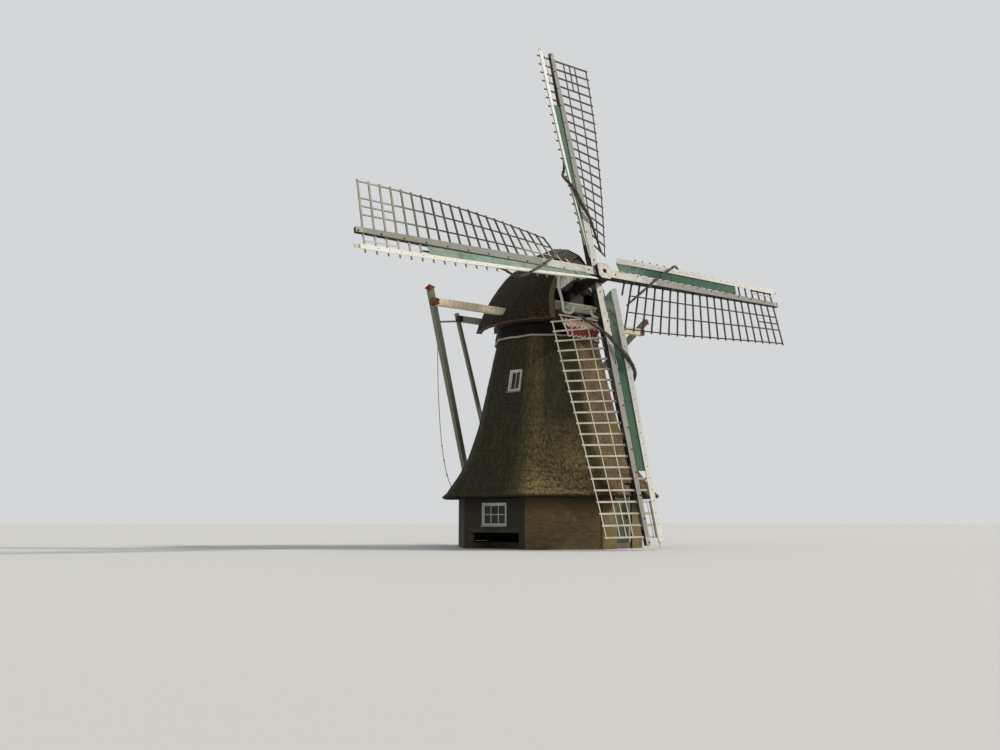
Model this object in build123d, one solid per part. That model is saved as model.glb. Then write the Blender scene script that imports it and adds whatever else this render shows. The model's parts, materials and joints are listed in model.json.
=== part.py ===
"""Thatched octagonal drainage mill: brick base, thatched smock, turning cap with
tail, and four latticed sails on two crossing stocks.

Millimetres, +Z up, origin on the ground at the tower's axis. The cap faces -Y,
so the sails stand in front of the tower at -Y and the tail hangs behind it.
"""
from build123d import *
import math
import os

os.makedirs("parts", exist_ok=True)

# Tower plan: a regular octagon, turned so that the door's face looks almost forward
side_count = 8
door_face_turn = 16.4
seat_gap = 0.3
turn_gap = 6.0

# Brick base
base_radius = 3390.0
base_wall = 240.0
base_height = 1700.0
floor_thickness = 200.0
door_opening_width = 1000.0
door_shift = 120.0
door_frame_width = 80.0
door_frame_depth = 120.0
door_frame_height = 2170.0
door_head_width = 170.0
door_leaf_thickness = 45.0
door_gap = 6.0
door_set_in = 60.0
hinge_radius = 18.0
hinge_gap = 2.0
hinge_length = 60.0
lower_window_width = 1080.0
lower_window_height = 790.0
lower_window_sill = 750.0
window_frame_width = 60.0
window_frame_depth = 80.0
window_set_in = 30.0
glass_thickness = 6.0
outlet_width = 2100.0
outlet_height = 640.0
outlet_reach = 900.0
lintel_height = 90.0

# Thatched smock, measured at its corners
smock_top = 7720.0
eave_radius = 4000.0
eave_lip_height = 110.0
eave_lip_radius = 4090.0
thatch_levels = [(1960.0, 3900.0), (2700.0, 3360.0), (3250.0, 3060.0),
                 (4400.0, 2660.0), (5850.0, 2330.0)]
smock_top_radius = 1900.0
thatch_inner_foot = 3080.0
thatch_inner_top = 1560.0
arris_round = 550.0
arris_facets = 4
flatness = 0.001
upper_window_width = 520.0
upper_window_height = 780.0
upper_window_sill = 5430.0
upper_window_shift = 165.0
upper_window_depth = 430.0
post_width = 160.0

# Curb, on which the cap turns
curb_outer = 1740.0
curb_inner = 1450.0
curb_height = 210.0
curb_boarding = 60.0
trim_height = 70.0
trim_overhang = 70.0

# Cap frame
cap_ring_height = 120.0
sheer_spacing = 1560.0
sheer_width = 220.0
sheer_height = 240.0
sheer_front = 2030.0
sheer_back = 2140.0
weather_beam_length = 2100.0
weather_beam_height = 320.0
weather_beam_depth = 360.0
weather_beam_setback = 1670.0
long_beam_half = 4960.0
long_beam_y = 60.0
long_beam_width = 240.0
long_beam_height = 240.0
short_beam_half = 2680.0
short_beam_y = 1950.0
short_beam_width = 220.0
short_beam_height = 210.0

# Cap thatch: distance along the cap, half width at foot and shoulder, height of the ridge over the foot
cap_foot_gap = 20.0
cap_shoulder_height = 1300.0
cap_stations = [(-1900.0, 1300.0, 1230.0, 2300.0),
                (-1300.0, 1820.0, 1430.0, 2650.0),
                (-500.0, 2160.0, 1520.0, 2850.0),
                (500.0, 2220.0, 1500.0, 2840.0),
                (1500.0, 2060.0, 1360.0, 2750.0),
                (2200.0, 1720.0, 1100.0, 2650.0)]
cap_facets = 9
cap_thatch = 300.0
cap_thatch_ridge = 380.0
beam_slot_gap = 0.3
lever_hole_gap = 16.0
ridge_cover_width = 900.0
ridge_cover_rise = 130.0
ridge_cover_thickness = 90.0
ridge_cover_sink = 60.0
gable_board = 35.0
gable_gap = 1.2
gable_set_in = 60.0
front_opening_height = 1050.0
barge_width = 130.0
barge_thickness = 35.0
barge_foot_x = 600.0
barge_foot_height = 380.0
barge_curl = 100.0
barge_facets = 14
curl_facets = 8
beard_thickness = 40.0
beard_sheer_cover = 100.0
beard_drop = 650.0
beard_half_top = 740.0
beard_half_foot = 430.0
scallop_radius = 62.0
scallop_count = 7

# Tail, braces and winch
tail_width = 250.0
tail_top_y = 2260.0
tail_top_rise = 260.0
tail_foot_y = 5050.0
tail_foot_z = 1050.0
long_brace_width = 190.0
long_brace_x = 4760.0
long_brace_rise = 620.0
long_brace_foot_z = 1620.0
short_brace_width = 130.0
short_brace_x = 2540.0
short_brace_rise = 260.0
short_brace_foot_z = 4250.0
brace_cap_height = 130.0
brace_cap_overhang = 45.0
winch_barrel_radius = 85.0
winch_barrel_length = 700.0
winch_wheel_radius = 450.0
winch_rim = 60.0
winch_spoke = 45.0
winch_up_tail = 260.0
lever_x = -850.0
lever_width = 70.0
lever_inner_y = 1250.0
lever_outer_y = 6380.0
lever_slope = 8.754

# Brake rope, from the lever's end down to a cleat on the tail
rope_diameter = 32.0
rope_sides = 8
cleat_size = (70.0, 60.0, 240.0)
cleat_height = 1800.0
rope_route = [(-850.0, 6300.0, 9187.0), (-852.0, 6303.0, 8700.0), (-855.0, 6302.0, 8200.0),
              (-856.0, 6295.0, 7700.0), (-855.0, 6282.0, 7200.0), (-850.0, 6264.0, 6700.0),
              (-842.0, 6240.0, 6200.0), (-830.0, 6210.0, 5700.0), (-814.0, 6176.0, 5210.0),
              (-794.0, 6138.0, 4730.0), (-770.0, 6092.0, 4260.0), (-742.0, 6034.0, 3800.0),
              (-708.0, 5960.0, 3350.0), (-665.0, 5868.0, 2920.0), (-608.0, 5752.0, 2540.0),
              (-530.0, 5610.0, 2240.0), (-430.0, 5440.0, 2030.0), (-310.0, 5290.0, 1925.0),
              (-190.0, 5165.0, 1880.0), (-90.0, 5050.0, 1868.0), (-20.0, 4954.0, 1863.0)]

# Windshaft and stocks
sail_axis_tilt = 13.7
neck_block_height = 324.3
hub_forward = 2900.0
sail_rest_turn = -0.6
sail_reach = 9500.0
neck_radius = 190.0
shaft_tail_radius = 120.0
shaft_length = 4350.0
neck_clearance = 0.5
tail_beam_width = 220.0
tail_bearing_setback = 130.0
poll_width = 580.0
poll_front = 400.0
poll_back = 420.0
poll_corner = 100.0
poll_hole_radius = 70.0
poll_hole_depth = 80.0
stock_spacing = 290.0
stock_width = 290.0
stock_depth = 260.0
stock_straight = 1200.0
stock_tip_width = 170.0
stock_tip_depth = 130.0

# Sail lattice: bars through the stock, laths along the sail
bar_count = 21
first_bar = 1530.0
last_bar = 9230.0
bar_width = 60.0
bar_thickness = 34.0
weather_root = 28.5
weather_power = 1.4
trailing_root = 1780.0
trailing_tip = 1700.0
bar_end_past_lath = 70.0
lath_width = 45.0
lath_thickness = 26.0
lath_places = (1.0, 0.66, 0.33)
tip_lath_place = 0.5
tip_lath_bays = 3
leading_lath_across = 465.0
leading_lath_bays = 3
root_bar = 1180.0
root_bar_end = 620.0
leading_width = 600.0
leading_edge_width = 110.0
leading_edge_thickness = 30.0
leading_edge_reach = 9600.0
windboard_start = 1050.0
windboard_end = 7060.0
windboard_thickness = 22.0
windboard_count = 5
windboard_notch = 235.0
windboard_gap = 8.0
board_rise = 12.0
strip_lift = 1.75

# Furled sail cloths
furl_radius = 60.0
bundle_sides = 8
furl_route = [(900.0, 330.0, 1330.0), (520.0, 90.0, 1800.0), (160.0, -200.0, 2250.0),
              (-200.0, -230.0, 2750.0), (-501.0, -316.0, 3250.0), (-718.0, -274.0, 3620.0),
              (-715.0, -125.0, 3900.0), (-480.0, -35.0, 4250.0), (-340.0, 25.0, 4900.0),
              (-300.0, 70.0, 5900.0), (-260.0, 95.0, 7200.0)]

parts = {}


def box_between(low, high):
    """A box given by two opposite corners."""
    size = [b - a for a, b in zip(low, high)]
    centre = [(a + b) / 2 for a, b in zip(low, high)]
    return Pos(*centre) * Box(*size)


def bar_between(start, end, width, depth, side=(1, 0, 0)):
    """A straight bar of rectangular section from one point to another."""
    start = Vector(*start)
    run = Vector(*end) - start
    plane = Plane(origin=start, x_dir=side, z_dir=run)
    return extrude(plane * Rectangle(width, depth), run.length)


def group(*solids):
    """Several separate solids as one node."""
    return Compound(children=list(solids))


def face_through(*points):
    """A flat face through points in order."""
    return make_face(Polyline(*points, close=True))


def stacked(outlines):
    """A solid with flat sides between matching outlines, each a list of points.

    Four points that don't lie flat get two triangles, split the same way on opposite sides.
    """
    faces = [face_through(*outlines[0]), face_through(*outlines[-1])]
    for lower, upper in zip(outlines, outlines[1:]):
        for index in range(len(lower)):
            a, b = lower[index - 1], lower[index]
            c, d = upper[index], upper[index - 1]
            normal = (b - a).cross(c - a).normalized()
            if abs(normal.dot(d - a)) < flatness:
                faces.append(face_through(a, b, c, d))
            elif (c - a).X < (d - b).X:
                faces += [face_through(a, b, c), face_through(a, c, d)]
            else:
                faces += [face_through(a, b, d), face_through(b, c, d)]
    return Solid(Shell([face.face() for face in faces]))


def corners(place, width, depth):
    """The four corners of a rectangle at a place."""
    signs = [(-1, -1), (1, -1), (1, 1), (-1, 1)]
    return [(place * Pos(x * width / 2, y * depth / 2, 0)).position for x, y in signs]


def rounded_path(points):
    """Straight runs joined by arcs as large as the runs allow."""
    bends = [Vector(*point) for point in points]
    radii = []
    for before, here, after in zip(bends, bends[1:], bends[2:]):
        run_in = here - before
        run_out = after - here
        half_turn = math.radians(run_in.get_angle(run_out)) / 2
        radii.append(0.45 * min(run_in.length, run_out.length) / math.tan(half_turn))
    return FilletPolyline(*points, radius=radii)


def bundle(points, radius):
    """A rolled bundle of cloth with flat sides along straight runs."""
    path = Polyline(*points)
    start = Plane(origin=path @ 0, z_dir=path % 0)
    return sweep(start * RegularPolygon(radius, bundle_sides), path, transition=Transition.RIGHT)


def cord(points, radius):
    """A plain cord along a rounded path."""
    path = rounded_path(points)
    start = Plane(origin=path @ 0, z_dir=path % 0)
    return sweep(start * RegularPolygon(radius, rope_sides), path)


def ribbon(middle, width):
    """A flat strip of even width along a line of points."""
    left = []
    right = []
    for before, here, after in zip(middle[:1] + middle, middle, middle[1:] + middle[-1:]):
        across = (after - before).normalized().rotate(Axis.Z, 90) * (width / 2)
        left.append(here + across)
        right.append(here - across)
    return face_through(*left, *reversed(right))


# Tower helpers

# The octagon's corners, as angles in the plan
face_names = ["front", "front_right", "right", "back_right",
              "back", "back_left", "left", "front_left"]
alternate_faces = {"with_openings": face_names[0::2], "plain": face_names[1::2]}
side_angle = 360.0 / side_count
corner_angle = door_face_turn - 90.0 - side_angle / 2
apothem_share = math.cos(math.radians(side_angle / 2))


def octagon_points(radius, rounding=0.0, height=0.0):
    """The outline of the tower at one level, with its arrises sharp or rounded."""
    centre = radius - rounding / apothem_share
    turns = [0.0]
    if rounding > 0:
        turns = [side_angle * (facet / arris_facets - 0.5) for facet in range(arris_facets + 1)]
    outline = []
    for index in range(side_count):
        corner = corner_angle + index * side_angle
        middle = Vector(centre, 0, height).rotate(Axis.Z, corner)
        for turn in turns:
            outline.append(middle + Vector(rounding, 0, 0).rotate(Axis.Z, corner + turn))
    return outline


def octagon(radius, rounding=0.0):
    """The plan of the tower at one level."""
    return face_through(*octagon_points(radius, rounding))


def face_place(index, outward=0.0, height=0.0):
    """A frame on one face: X along the face, -Y outward, Z up."""
    turn = door_face_turn + index * side_angle
    return Rot(0, 0, turn) * Pos(0, -outward, height)


def face_wedge(index, height):
    """The slice of the plan that belongs to one face."""
    reach = eave_lip_radius * 2
    half = reach * math.tan(math.radians(side_angle / 2))
    plan = Polygon((0, 0), (-half, -reach), (half, -reach), align=None)
    return face_place(index) * extrude(plan, height, dir=(0, 0, 1))


base_apothem = base_radius * apothem_share


def face_box(index, width, low, high, outer, inner, shift=0.0):
    """A box on one face, from an outer to an inner distance off the axis."""
    box = box_between((shift - width / 2, -outer, low), (shift + width / 2, -inner, high))
    return face_place(index) * box


# Brick base

def base_walls():
    """Eight brick walls, cut for two doors, two windows and the water outlet."""
    ring = octagon(base_radius) - octagon(base_radius - base_wall / apothem_share)
    ring = extrude(ring, base_height)
    past = base_wall
    walls = {}
    for index, name in enumerate(face_names):
        wall = ring & face_wedge(index, base_height)
        outer = base_apothem + past
        inner = base_apothem - base_wall - past
        if name in ("front", "back"):
            wall -= face_box(index, door_opening_width, -1, base_height + 1, outer, inner, door_shift)
        if name in ("left", "right"):
            top = lower_window_sill + lower_window_height
            wall -= face_box(index, lower_window_width, lower_window_sill, top, outer, inner)
        if name == "left":
            wall -= face_box(index, outlet_width, -1, outlet_height, outer, inner)
        walls[name] = wall
    for node, faces in alternate_faces.items():
        parts["base_walls_" + node] = group(*[walls[name] for name in faces])
    left = face_names.index("left")
    low = outlet_height - lintel_height
    parts["outlet_lintel"] = face_box(left, outlet_width, low, outlet_height,
                                      base_apothem, base_apothem - base_wall)


def floor():
    """The brick floor inside the walls, open above the outlet channel."""
    slab = extrude(octagon(base_radius - base_wall / apothem_share), floor_thickness)
    left = face_names.index("left")
    inner = base_apothem - base_wall - outlet_reach
    slab -= face_box(left, outlet_width, -1, floor_thickness + 1, base_apothem, inner)
    parts["floor"] = slab


def doorway(index):
    """Frame and leaf of one doorway, and the place of its hinge."""
    front = base_apothem - door_set_in
    back = front - door_frame_depth
    frame = face_box(index, door_opening_width, 0, door_frame_height, front, back, door_shift)
    clear = door_opening_width - 2 * door_frame_width
    sill = floor_thickness
    head = door_frame_height - door_head_width
    frame -= face_box(index, clear, sill, head, front + 1, back - 1, door_shift)
    leaf_front = back + door_leaf_thickness
    leaf = face_box(index, clear - 2 * door_gap, sill + door_gap, head - door_gap,
                    leaf_front, back, door_shift)
    hinge_x = door_shift - (clear / 2 - door_gap)
    hinge_y = -(back - hinge_radius - hinge_gap)
    seat = hinge_radius + hinge_gap * 2
    strap = hinge_radius * 8
    cylinder = Cylinder(hinge_radius, hinge_length, align=(Align.CENTER, Align.CENTER, Align.MIN))
    for height in (sill + 300.0, head - 300.0):
        place = face_place(index) * Pos(hinge_x, hinge_y, height)
        plate = box_between((0, -seat, 0), (strap, hinge_radius / 2, hinge_length))
        leaf += place * (cylinder + plate)
        arm = box_between((-strap / 2, -seat, 0), (-door_gap, hinge_radius / 2, hinge_length))
        frame += place * Pos(0, 0, -hinge_length - seat_gap) * (cylinder + arm)
    return frame, leaf


def doors():
    """Two doorways on opposite faces, as on any mill whose sails can block one."""
    front_frame, front_leaf = doorway(face_names.index("front"))
    back_frame, back_leaf = doorway(face_names.index("back"))
    parts["door_frames"] = group(front_frame, back_frame)
    parts["front_door"] = front_leaf
    parts["back_door"] = back_leaf


def window(index, width, height, sill, outer, tilt=0.0, shift=0.0, depth=window_frame_depth):
    """Frame and pane of one window, leaning back by the tilt."""
    place = face_place(index, outer, sill) * Pos(shift, 0, 0) * Rot(-tilt, 0, 0)
    frame = box_between((-width / 2, 0, 0), (width / 2, depth, height))
    inner = window_frame_width
    frame -= box_between((inner - width / 2, -1, inner), (width / 2 - inner, depth + 1, height - inner))
    pane = box_between((inner - width / 2, depth / 2, inner),
                       (width / 2 - inner, depth / 2 + glass_thickness, height - inner))
    return place * frame, place * pane


def thatch_batter():
    """Lean of the smock's upper faces, in degrees."""
    low_z, low_radius = thatch_levels[-1]
    run = (low_radius - smock_top_radius) * apothem_share
    return math.degrees(math.atan2(run, smock_top - low_z))


def thatch_apothem(height):
    """Distance of the smock's outer face from the axis on its straight upper part."""
    low_z, low_radius = thatch_levels[-1]
    share = (height - low_z) / (smock_top - low_z)
    radius = low_radius + (smock_top_radius - low_radius) * share
    return radius * apothem_share


def windows():
    """Two wide windows in the brick base and two small ones in the thatch."""
    frames = []
    panes = []
    for name in ("left", "right"):
        index = face_names.index(name)
        frame, pane = window(index, lower_window_width, lower_window_height,
                             lower_window_sill, base_apothem - window_set_in)
        frames.append(frame)
        panes.append(pane)
        frame, pane = window(index, upper_window_width, upper_window_height, upper_window_sill,
                             thatch_apothem(upper_window_sill), thatch_batter(),
                             upper_window_shift, window_frame_depth * 2)
        frames.append(frame)
        panes.append(pane)
    parts["window_frames"] = group(*frames)
    parts["window_glass"] = group(*panes)


# Thatched smock

def smock_thatch():
    """Eight thatched faces with rounded arrises, flaring out to the eave."""
    levels = [(base_height, eave_radius), (base_height + eave_lip_height, eave_lip_radius)]
    levels += thatch_levels
    levels.append((smock_top, smock_top_radius))
    outer = stacked([octagon_points(radius, arris_round, z) for z, radius in levels])
    inner = stacked([octagon_points(thatch_inner_foot, 0, base_height - 1),
                     octagon_points(thatch_inner_top, 0, smock_top + 1)])
    shell = outer - inner
    panels = {}
    for index, name in enumerate(face_names):
        panel = shell & face_wedge(index, smock_top + 1)
        if name in ("front", "back"):
            hood = face_box(index, door_opening_width, base_height - 1, door_frame_height + seat_gap,
                            eave_lip_radius, thatch_inner_foot * 0.5, door_shift)
            panel -= hood
        if name in ("left", "right"):
            outline = box_between((-upper_window_width / 2, -upper_window_depth, 0),
                                  (upper_window_width / 2, upper_window_depth, upper_window_height))
            place = face_place(index, thatch_apothem(upper_window_sill), upper_window_sill)
            panel -= place * Pos(upper_window_shift, 0, 0) * Rot(-thatch_batter(), 0, 0) * outline
        panels[name] = panel
    for node, faces in alternate_faces.items():
        parts["smock_thatch_" + node] = group(*[panels[name] for name in faces])


def corner_posts():
    """The eight leaning posts of the smock's frame, one behind each arris."""
    posts = []
    back_off = post_width / 2 * math.tan(math.radians(side_angle / 2)) + seat_gap
    for index in range(side_count):
        angle = math.radians(corner_angle + index * side_angle)
        outward = Vector(math.cos(angle), math.sin(angle), 0)
        ends = []
        for height, radius in ((base_height, thatch_inner_foot), (smock_top, thatch_inner_top)):
            centre = outward * (radius - back_off - post_width / 2) + Vector(0, 0, height)
            plane = Plane(origin=centre, x_dir=outward, z_dir=(0, 0, 1))
            ends.append(corners(plane.location, post_width, post_width))
        posts.append(stacked(ends))
    parts["corner_posts"] = group(*posts)


def curb():
    """The curb on top of the posts, its dark boarding and the pale trim below it."""
    ring = Circle(curb_outer) - Circle(curb_inner)
    parts["curb_ring"] = Pos(0, 0, smock_top) * extrude(ring, curb_height)
    around = Circle(curb_outer + seat_gap)
    trim = octagon(smock_top_radius + trim_overhang, arris_round) - around
    parts["curb_trim"] = Pos(0, 0, smock_top) * extrude(trim, trim_height)
    boarding = Circle(curb_outer + curb_boarding) - around
    rise = curb_height - trim_height - turn_gap
    parts["curb_boarding"] = Pos(0, 0, smock_top + trim_height) * extrude(boarding, rise)


# Cap frame

# Heights that follow from what lies below
curb_top = smock_top + curb_height
ring_foot = curb_top + seat_gap
sheer_foot = ring_foot + cap_ring_height
beam_foot = sheer_foot + sheer_height
cap_foot = curb_top + cap_foot_gap
tilt = math.radians(sail_axis_tilt)
weather_beam_top = beam_foot + weather_beam_height
neck_height = weather_beam_top + neck_block_height + neck_radius / math.cos(tilt)
hub_height = neck_height + (hub_forward - weather_beam_setback) * math.tan(tilt)
short_beam_top = beam_foot + short_beam_height
tail_top_z = short_beam_top + tail_top_rise


def shaft_height(y):
    """Height of the windshaft's axis at a place along the cap."""
    return hub_height - (hub_forward + y) * math.tan(tilt)


def cap_frame():
    """The turning ring, the two sheers and the beams that lie across them."""
    ring = Circle(curb_outer - 20) - Circle(curb_inner)
    parts["cap_ring"] = Pos(0, 0, ring_foot) * extrude(ring, cap_ring_height)
    sheers = []
    for side in (-1, 1):
        centre = side * sheer_spacing / 2
        sheers.append(box_between((centre - sheer_width / 2, -sheer_front, sheer_foot),
                                  (centre + sheer_width / 2, sheer_back, beam_foot)))
    parts["sheers"] = group(*sheers)
    near = -weather_beam_setback - weather_beam_depth / 2
    far = near + weather_beam_depth
    half = weather_beam_length / 2
    parts["weather_beam"] = box_between((-half, near, beam_foot), (half, far, weather_beam_top))
    parts["long_cross_beam"] = box_between(
        (-long_beam_half, long_beam_y - long_beam_width / 2, beam_foot),
        (long_beam_half, long_beam_y + long_beam_width / 2, beam_foot + long_beam_height))
    parts["short_cross_beam"] = box_between(
        (-short_beam_half, short_beam_y - short_beam_width / 2, beam_foot),
        (short_beam_half, short_beam_y + short_beam_width / 2, short_beam_top))


def shaft_bearings():
    """The neck bearing on the weather beam and the tail bearing on its own beam."""
    neck_y = -weather_beam_setback
    depth = weather_beam_depth * 0.6
    neck = box_between((-neck_radius * 1.6, neck_y - depth / 2, weather_beam_top),
                       (neck_radius * 1.6, neck_y + depth / 2, shaft_height(neck_y) - neck_radius * 0.2))
    tail_y = shaft_length * math.cos(tilt) - hub_forward - tail_bearing_setback
    half = sheer_spacing / 2 - sheer_width / 2 - seat_gap
    depth = tail_beam_width / 2
    beam = box_between((-half, tail_y - depth, sheer_foot), (half, tail_y + depth, beam_foot))
    block_top = shaft_height(tail_y) + shaft_tail_radius * 0.2
    block = box_between((-shaft_tail_radius * 1.7, tail_y - depth, beam_foot),
                        (shaft_tail_radius * 1.7, tail_y + depth, block_top))
    bore = shaft_place() * shaft_body(neck_clearance, tail_beam_width)
    parts["shaft_bearings"] = group(neck - bore, (beam + block) - bore)


# Cap thatch

def arch(half_foot, half_shoulder, ridge, inset=0.0, ridge_inset=0.0):
    """The points of one side of the cap's outline, from foot to ridge."""
    return [(half_foot - inset, cap_foot), (half_shoulder - inset, cap_foot + cap_shoulder_height),
            (0.0, cap_foot + ridge - ridge_inset)]


def arch_curve(y, points):
    """One side of the cap: a smooth curve through three points, in equal straight facets."""
    curve = Spline(*points)
    places = [curve @ (index / cap_facets) for index in range(cap_facets + 1)]
    return [Vector(place.X, y, place.Y) for place in places]


def half_shell(first, last):
    """The right half of the thatch between two stations."""
    outlines = []
    for y, foot, shoulder, ridge in cap_stations[first:last + 1]:
        outer = arch_curve(y, arch(foot, shoulder, ridge))
        inner = arch_curve(y, arch(foot, shoulder, ridge, cap_thatch, cap_thatch_ridge))
        outlines.append(outer + inner[::-1])
    return stacked(outlines)


def half_envelope(inset=0.0, ridge_inset=0.0):
    """The right half of the cap as a solid, for cutting what meets it."""
    outlines = []
    for y, foot, shoulder, ridge in cap_stations:
        outer = arch_curve(y, arch(foot, shoulder, ridge, inset, ridge_inset))
        outlines.append(outer + [Vector(0, y, cap_foot)])
    return stacked(outlines)


def cap_thatch_parts():
    """Four quarters of the thatch, slotted where the cross beams pass through."""
    slots = []
    for half, y, width, height in (
            (long_beam_half, long_beam_y, long_beam_width, long_beam_height),
            (short_beam_half, short_beam_y, short_beam_width, short_beam_height)):
        gap = beam_slot_gap
        slots.append(box_between((-half, y - width / 2 - gap, beam_foot - gap),
                                 (half, y + width / 2 + gap, beam_foot + height + gap)))
    middle = 2
    last = len(cap_stations) - 1
    for name, first, end in (("front", 0, middle), ("back", middle, last)):
        right = half_shell(first, end)
        for slot in slots:
            right -= slot
        parts["cap_thatch_%s_right" % name] = right
        parts["cap_thatch_%s_left" % name] = mirror(right, Plane.YZ)


def ridge_cover():
    """The dark boards that shed water over the thatch's ridge."""
    outlines = []
    for y, foot, shoulder, ridge in cap_stations[:4]:
        top = cap_foot + ridge + ridge_cover_rise
        half = ridge_cover_width / 2
        low = top - half * 0.95
        outlines.append([Vector(0, y, top), Vector(half, y, low),
                         Vector(half - 30, y, low - ridge_cover_thickness),
                         Vector(0, y, top - ridge_cover_rise - ridge_cover_sink)])
    right = stacked(outlines) - half_envelope()
    parts["ridge_boards"] = group(*[right, mirror(right, Plane.YZ)])


def gable_face(y, low):
    """A board across the cap's inside, from a level up to the thatch."""
    inside = half_envelope(cap_thatch + gable_gap, cap_thatch_ridge + gable_gap)
    reach = max(foot for along, foot, shoulder, ridge in cap_stations)
    board = inside & box_between((0, y, low), (reach, y + gable_board, low + reach * 2))
    return board + mirror(board, Plane.YZ)


def gables():
    """Boards that close the front above the windshaft and the back above the tail."""
    front_y = cap_stations[0][0] + gable_set_in
    front = gable_face(front_y, cap_foot + front_opening_height)
    hole = Cylinder(neck_radius + 60, shaft_length * 2)
    front -= shaft_place() * Rot(90, 0, 0) * hole
    parts["front_boards"] = front
    back_y = short_beam_y - short_beam_width / 2 - gable_board - gable_set_in
    back = gable_face(back_y, short_beam_top + seat_gap)
    lever_hole = lever_solid(lever_hole_gap)
    parts["back_boards"] = back - lever_hole


def bargeboards():
    """Two white boards along the edge of the front thatch, curled at the foot."""
    y, foot, shoulder, ridge = cap_stations[0]
    edge = arch(foot, shoulder, ridge, cap_thatch - barge_width / 2, cap_thatch_ridge - barge_width / 2)
    shoulder_x, shoulder_z = edge[1]
    top_z = edge[2][1]
    foot_z = cap_foot + barge_foot_height
    barge_foot = (barge_foot_x, foot_z)
    side = Spline((0, top_z), (shoulder_x * 0.62, (shoulder_z + top_z) / 2 + 40),
                  (shoulder_x, shoulder_z), barge_foot)
    bend = ThreePointArc(barge_foot, (barge_foot_x - barge_curl, foot_z - barge_curl),
                         (barge_foot_x - barge_curl * 2, foot_z))
    middle = [side @ (index / barge_facets) for index in range(barge_facets)]
    middle += [bend @ (index / curl_facets) for index in range(curl_facets + 1)]
    board = ribbon(middle, barge_width)
    plane = Plane(origin=(0, y - seat_gap, 0), x_dir=(1, 0, 0), z_dir=(0, -1, 0))
    right = extrude(plane * board, barge_thickness, dir=(0, -1, 0))
    right &= box_between((0, y - barge_thickness * 2, cap_foot), (curb_outer, y, cap_foot + ridge))
    parts["bargeboards"] = group(right, mirror(right, Plane.YZ))


def beard():
    """The painted board under the weather beam, scalloped along its foot."""
    y = -sheer_front - seat_gap
    beard_top = sheer_foot + beard_sheer_cover
    beard_foot = beard_top - beard_drop
    outline = Polygon((-beard_half_foot, beard_foot), (beard_half_foot, beard_foot),
                      (beard_half_top, beard_top), (-beard_half_top, beard_top), align=None)
    step = 2 * beard_half_foot / scallop_count
    for index in range(scallop_count):
        centre = -beard_half_foot + step * (index + 0.5)
        outline += Pos(centre, beard_foot) * Circle(scallop_radius)
    plane = Plane(origin=(0, y, 0), x_dir=(1, 0, 0), z_dir=(0, -1, 0))
    parts["beard"] = extrude(plane * outline, beard_thickness, dir=(0, -1, 0))


# Tail

def tail_point(height):
    """Where the tail pole's axis is at a height."""
    share = (tail_top_z - height) / (tail_top_z - tail_foot_z)
    return (0.0, tail_top_y + (tail_foot_y - tail_top_y) * share, height)


def tail_lean():
    """How far the tail pole leans off the vertical, in degrees."""
    return math.degrees(math.atan2(tail_foot_y - tail_top_y, tail_top_z - tail_foot_z))


def lever_solid(extra=0.0):
    """The brake lever, or the hole that clears it."""
    slope = math.tan(math.radians(lever_slope))
    rest_y = short_beam_y - short_beam_width / 2
    rest_z = short_beam_top + seat_gap + lever_width / 2 / math.cos(math.radians(lever_slope))
    start = (lever_x, lever_inner_y, rest_z + (lever_inner_y - rest_y) * slope)
    end = (lever_x, lever_outer_y, rest_z + (lever_outer_y - rest_y) * slope)
    return bar_between(start, end, lever_width + extra, lever_width + extra)


def brace(side, top_x, beam_y, beam_z, rise, foot_z, width):
    """One brace: it crosses behind a beam's end and runs down to the tail pole."""
    at_beam = Vector(side * top_x, beam_y, beam_z)
    foot = Vector(*tail_point(foot_z)) + Vector(side * tail_width * 0.3, 0, 0)
    run = (foot - at_beam).normalized()
    top = at_beam - run * rise
    solid = bar_between(top, foot, width, width, (0, 1, 0))
    return solid, top, run


def pyramid_cap(top, run, width):
    """The small pointed cap on the upper end of a brace."""
    plane = Plane(origin=top, x_dir=(0, 1, 0), z_dir=run * -1)
    wide = width + 2 * brace_cap_overhang
    foot = corners(plane.location, wide, wide)
    tip = corners(plane.offset(brace_cap_height).location, wide * 0.12, wide * 0.12)
    return stacked([foot, tip])


def tail():
    """Tail pole, its four braces and the caps on the long ones."""
    top = tail_point(tail_top_z)
    foot = tail_point(tail_foot_z)
    pole = bar_between(top, foot, tail_width, tail_width)
    long_beam = parts["long_cross_beam"]
    short_beam = parts["short_cross_beam"]
    cleat = Pos(0, (tail_width + cleat_size[1]) / 2, 0) * Box(*cleat_size)
    parts["tail_pole"] = pole - short_beam + Pos(*tail_point(cleat_height)) * Rot(tail_lean(), 0, 0) * cleat
    long_y = long_beam_y + long_beam_width / 2 + long_brace_width * 0.62
    short_y = short_beam_y + short_beam_width / 2 + short_brace_width * 0.55
    long_braces = []
    short_braces = []
    caps = []
    for side in (-1, 1):
        solid, high, run = brace(side, long_brace_x, long_y, beam_foot + long_beam_height / 2,
                                 long_brace_rise, long_brace_foot_z, long_brace_width)
        long_braces.append(solid - pole - long_beam)
        caps.append(pyramid_cap(high, run, long_brace_width))
        solid, high, run = brace(side, short_brace_x, short_y, beam_foot + short_beam_height / 2,
                                 short_brace_rise, short_brace_foot_z, short_brace_width)
        short_braces.append(solid - pole - short_beam)
    parts["long_braces"] = group(*long_braces)
    parts["short_braces"] = group(*short_braces)
    parts["brace_caps"] = group(*caps)
    parts["brake_lever"] = lever_solid()
    parts["brake_rope"] = cord(rope_route, rope_diameter / 2)


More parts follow.
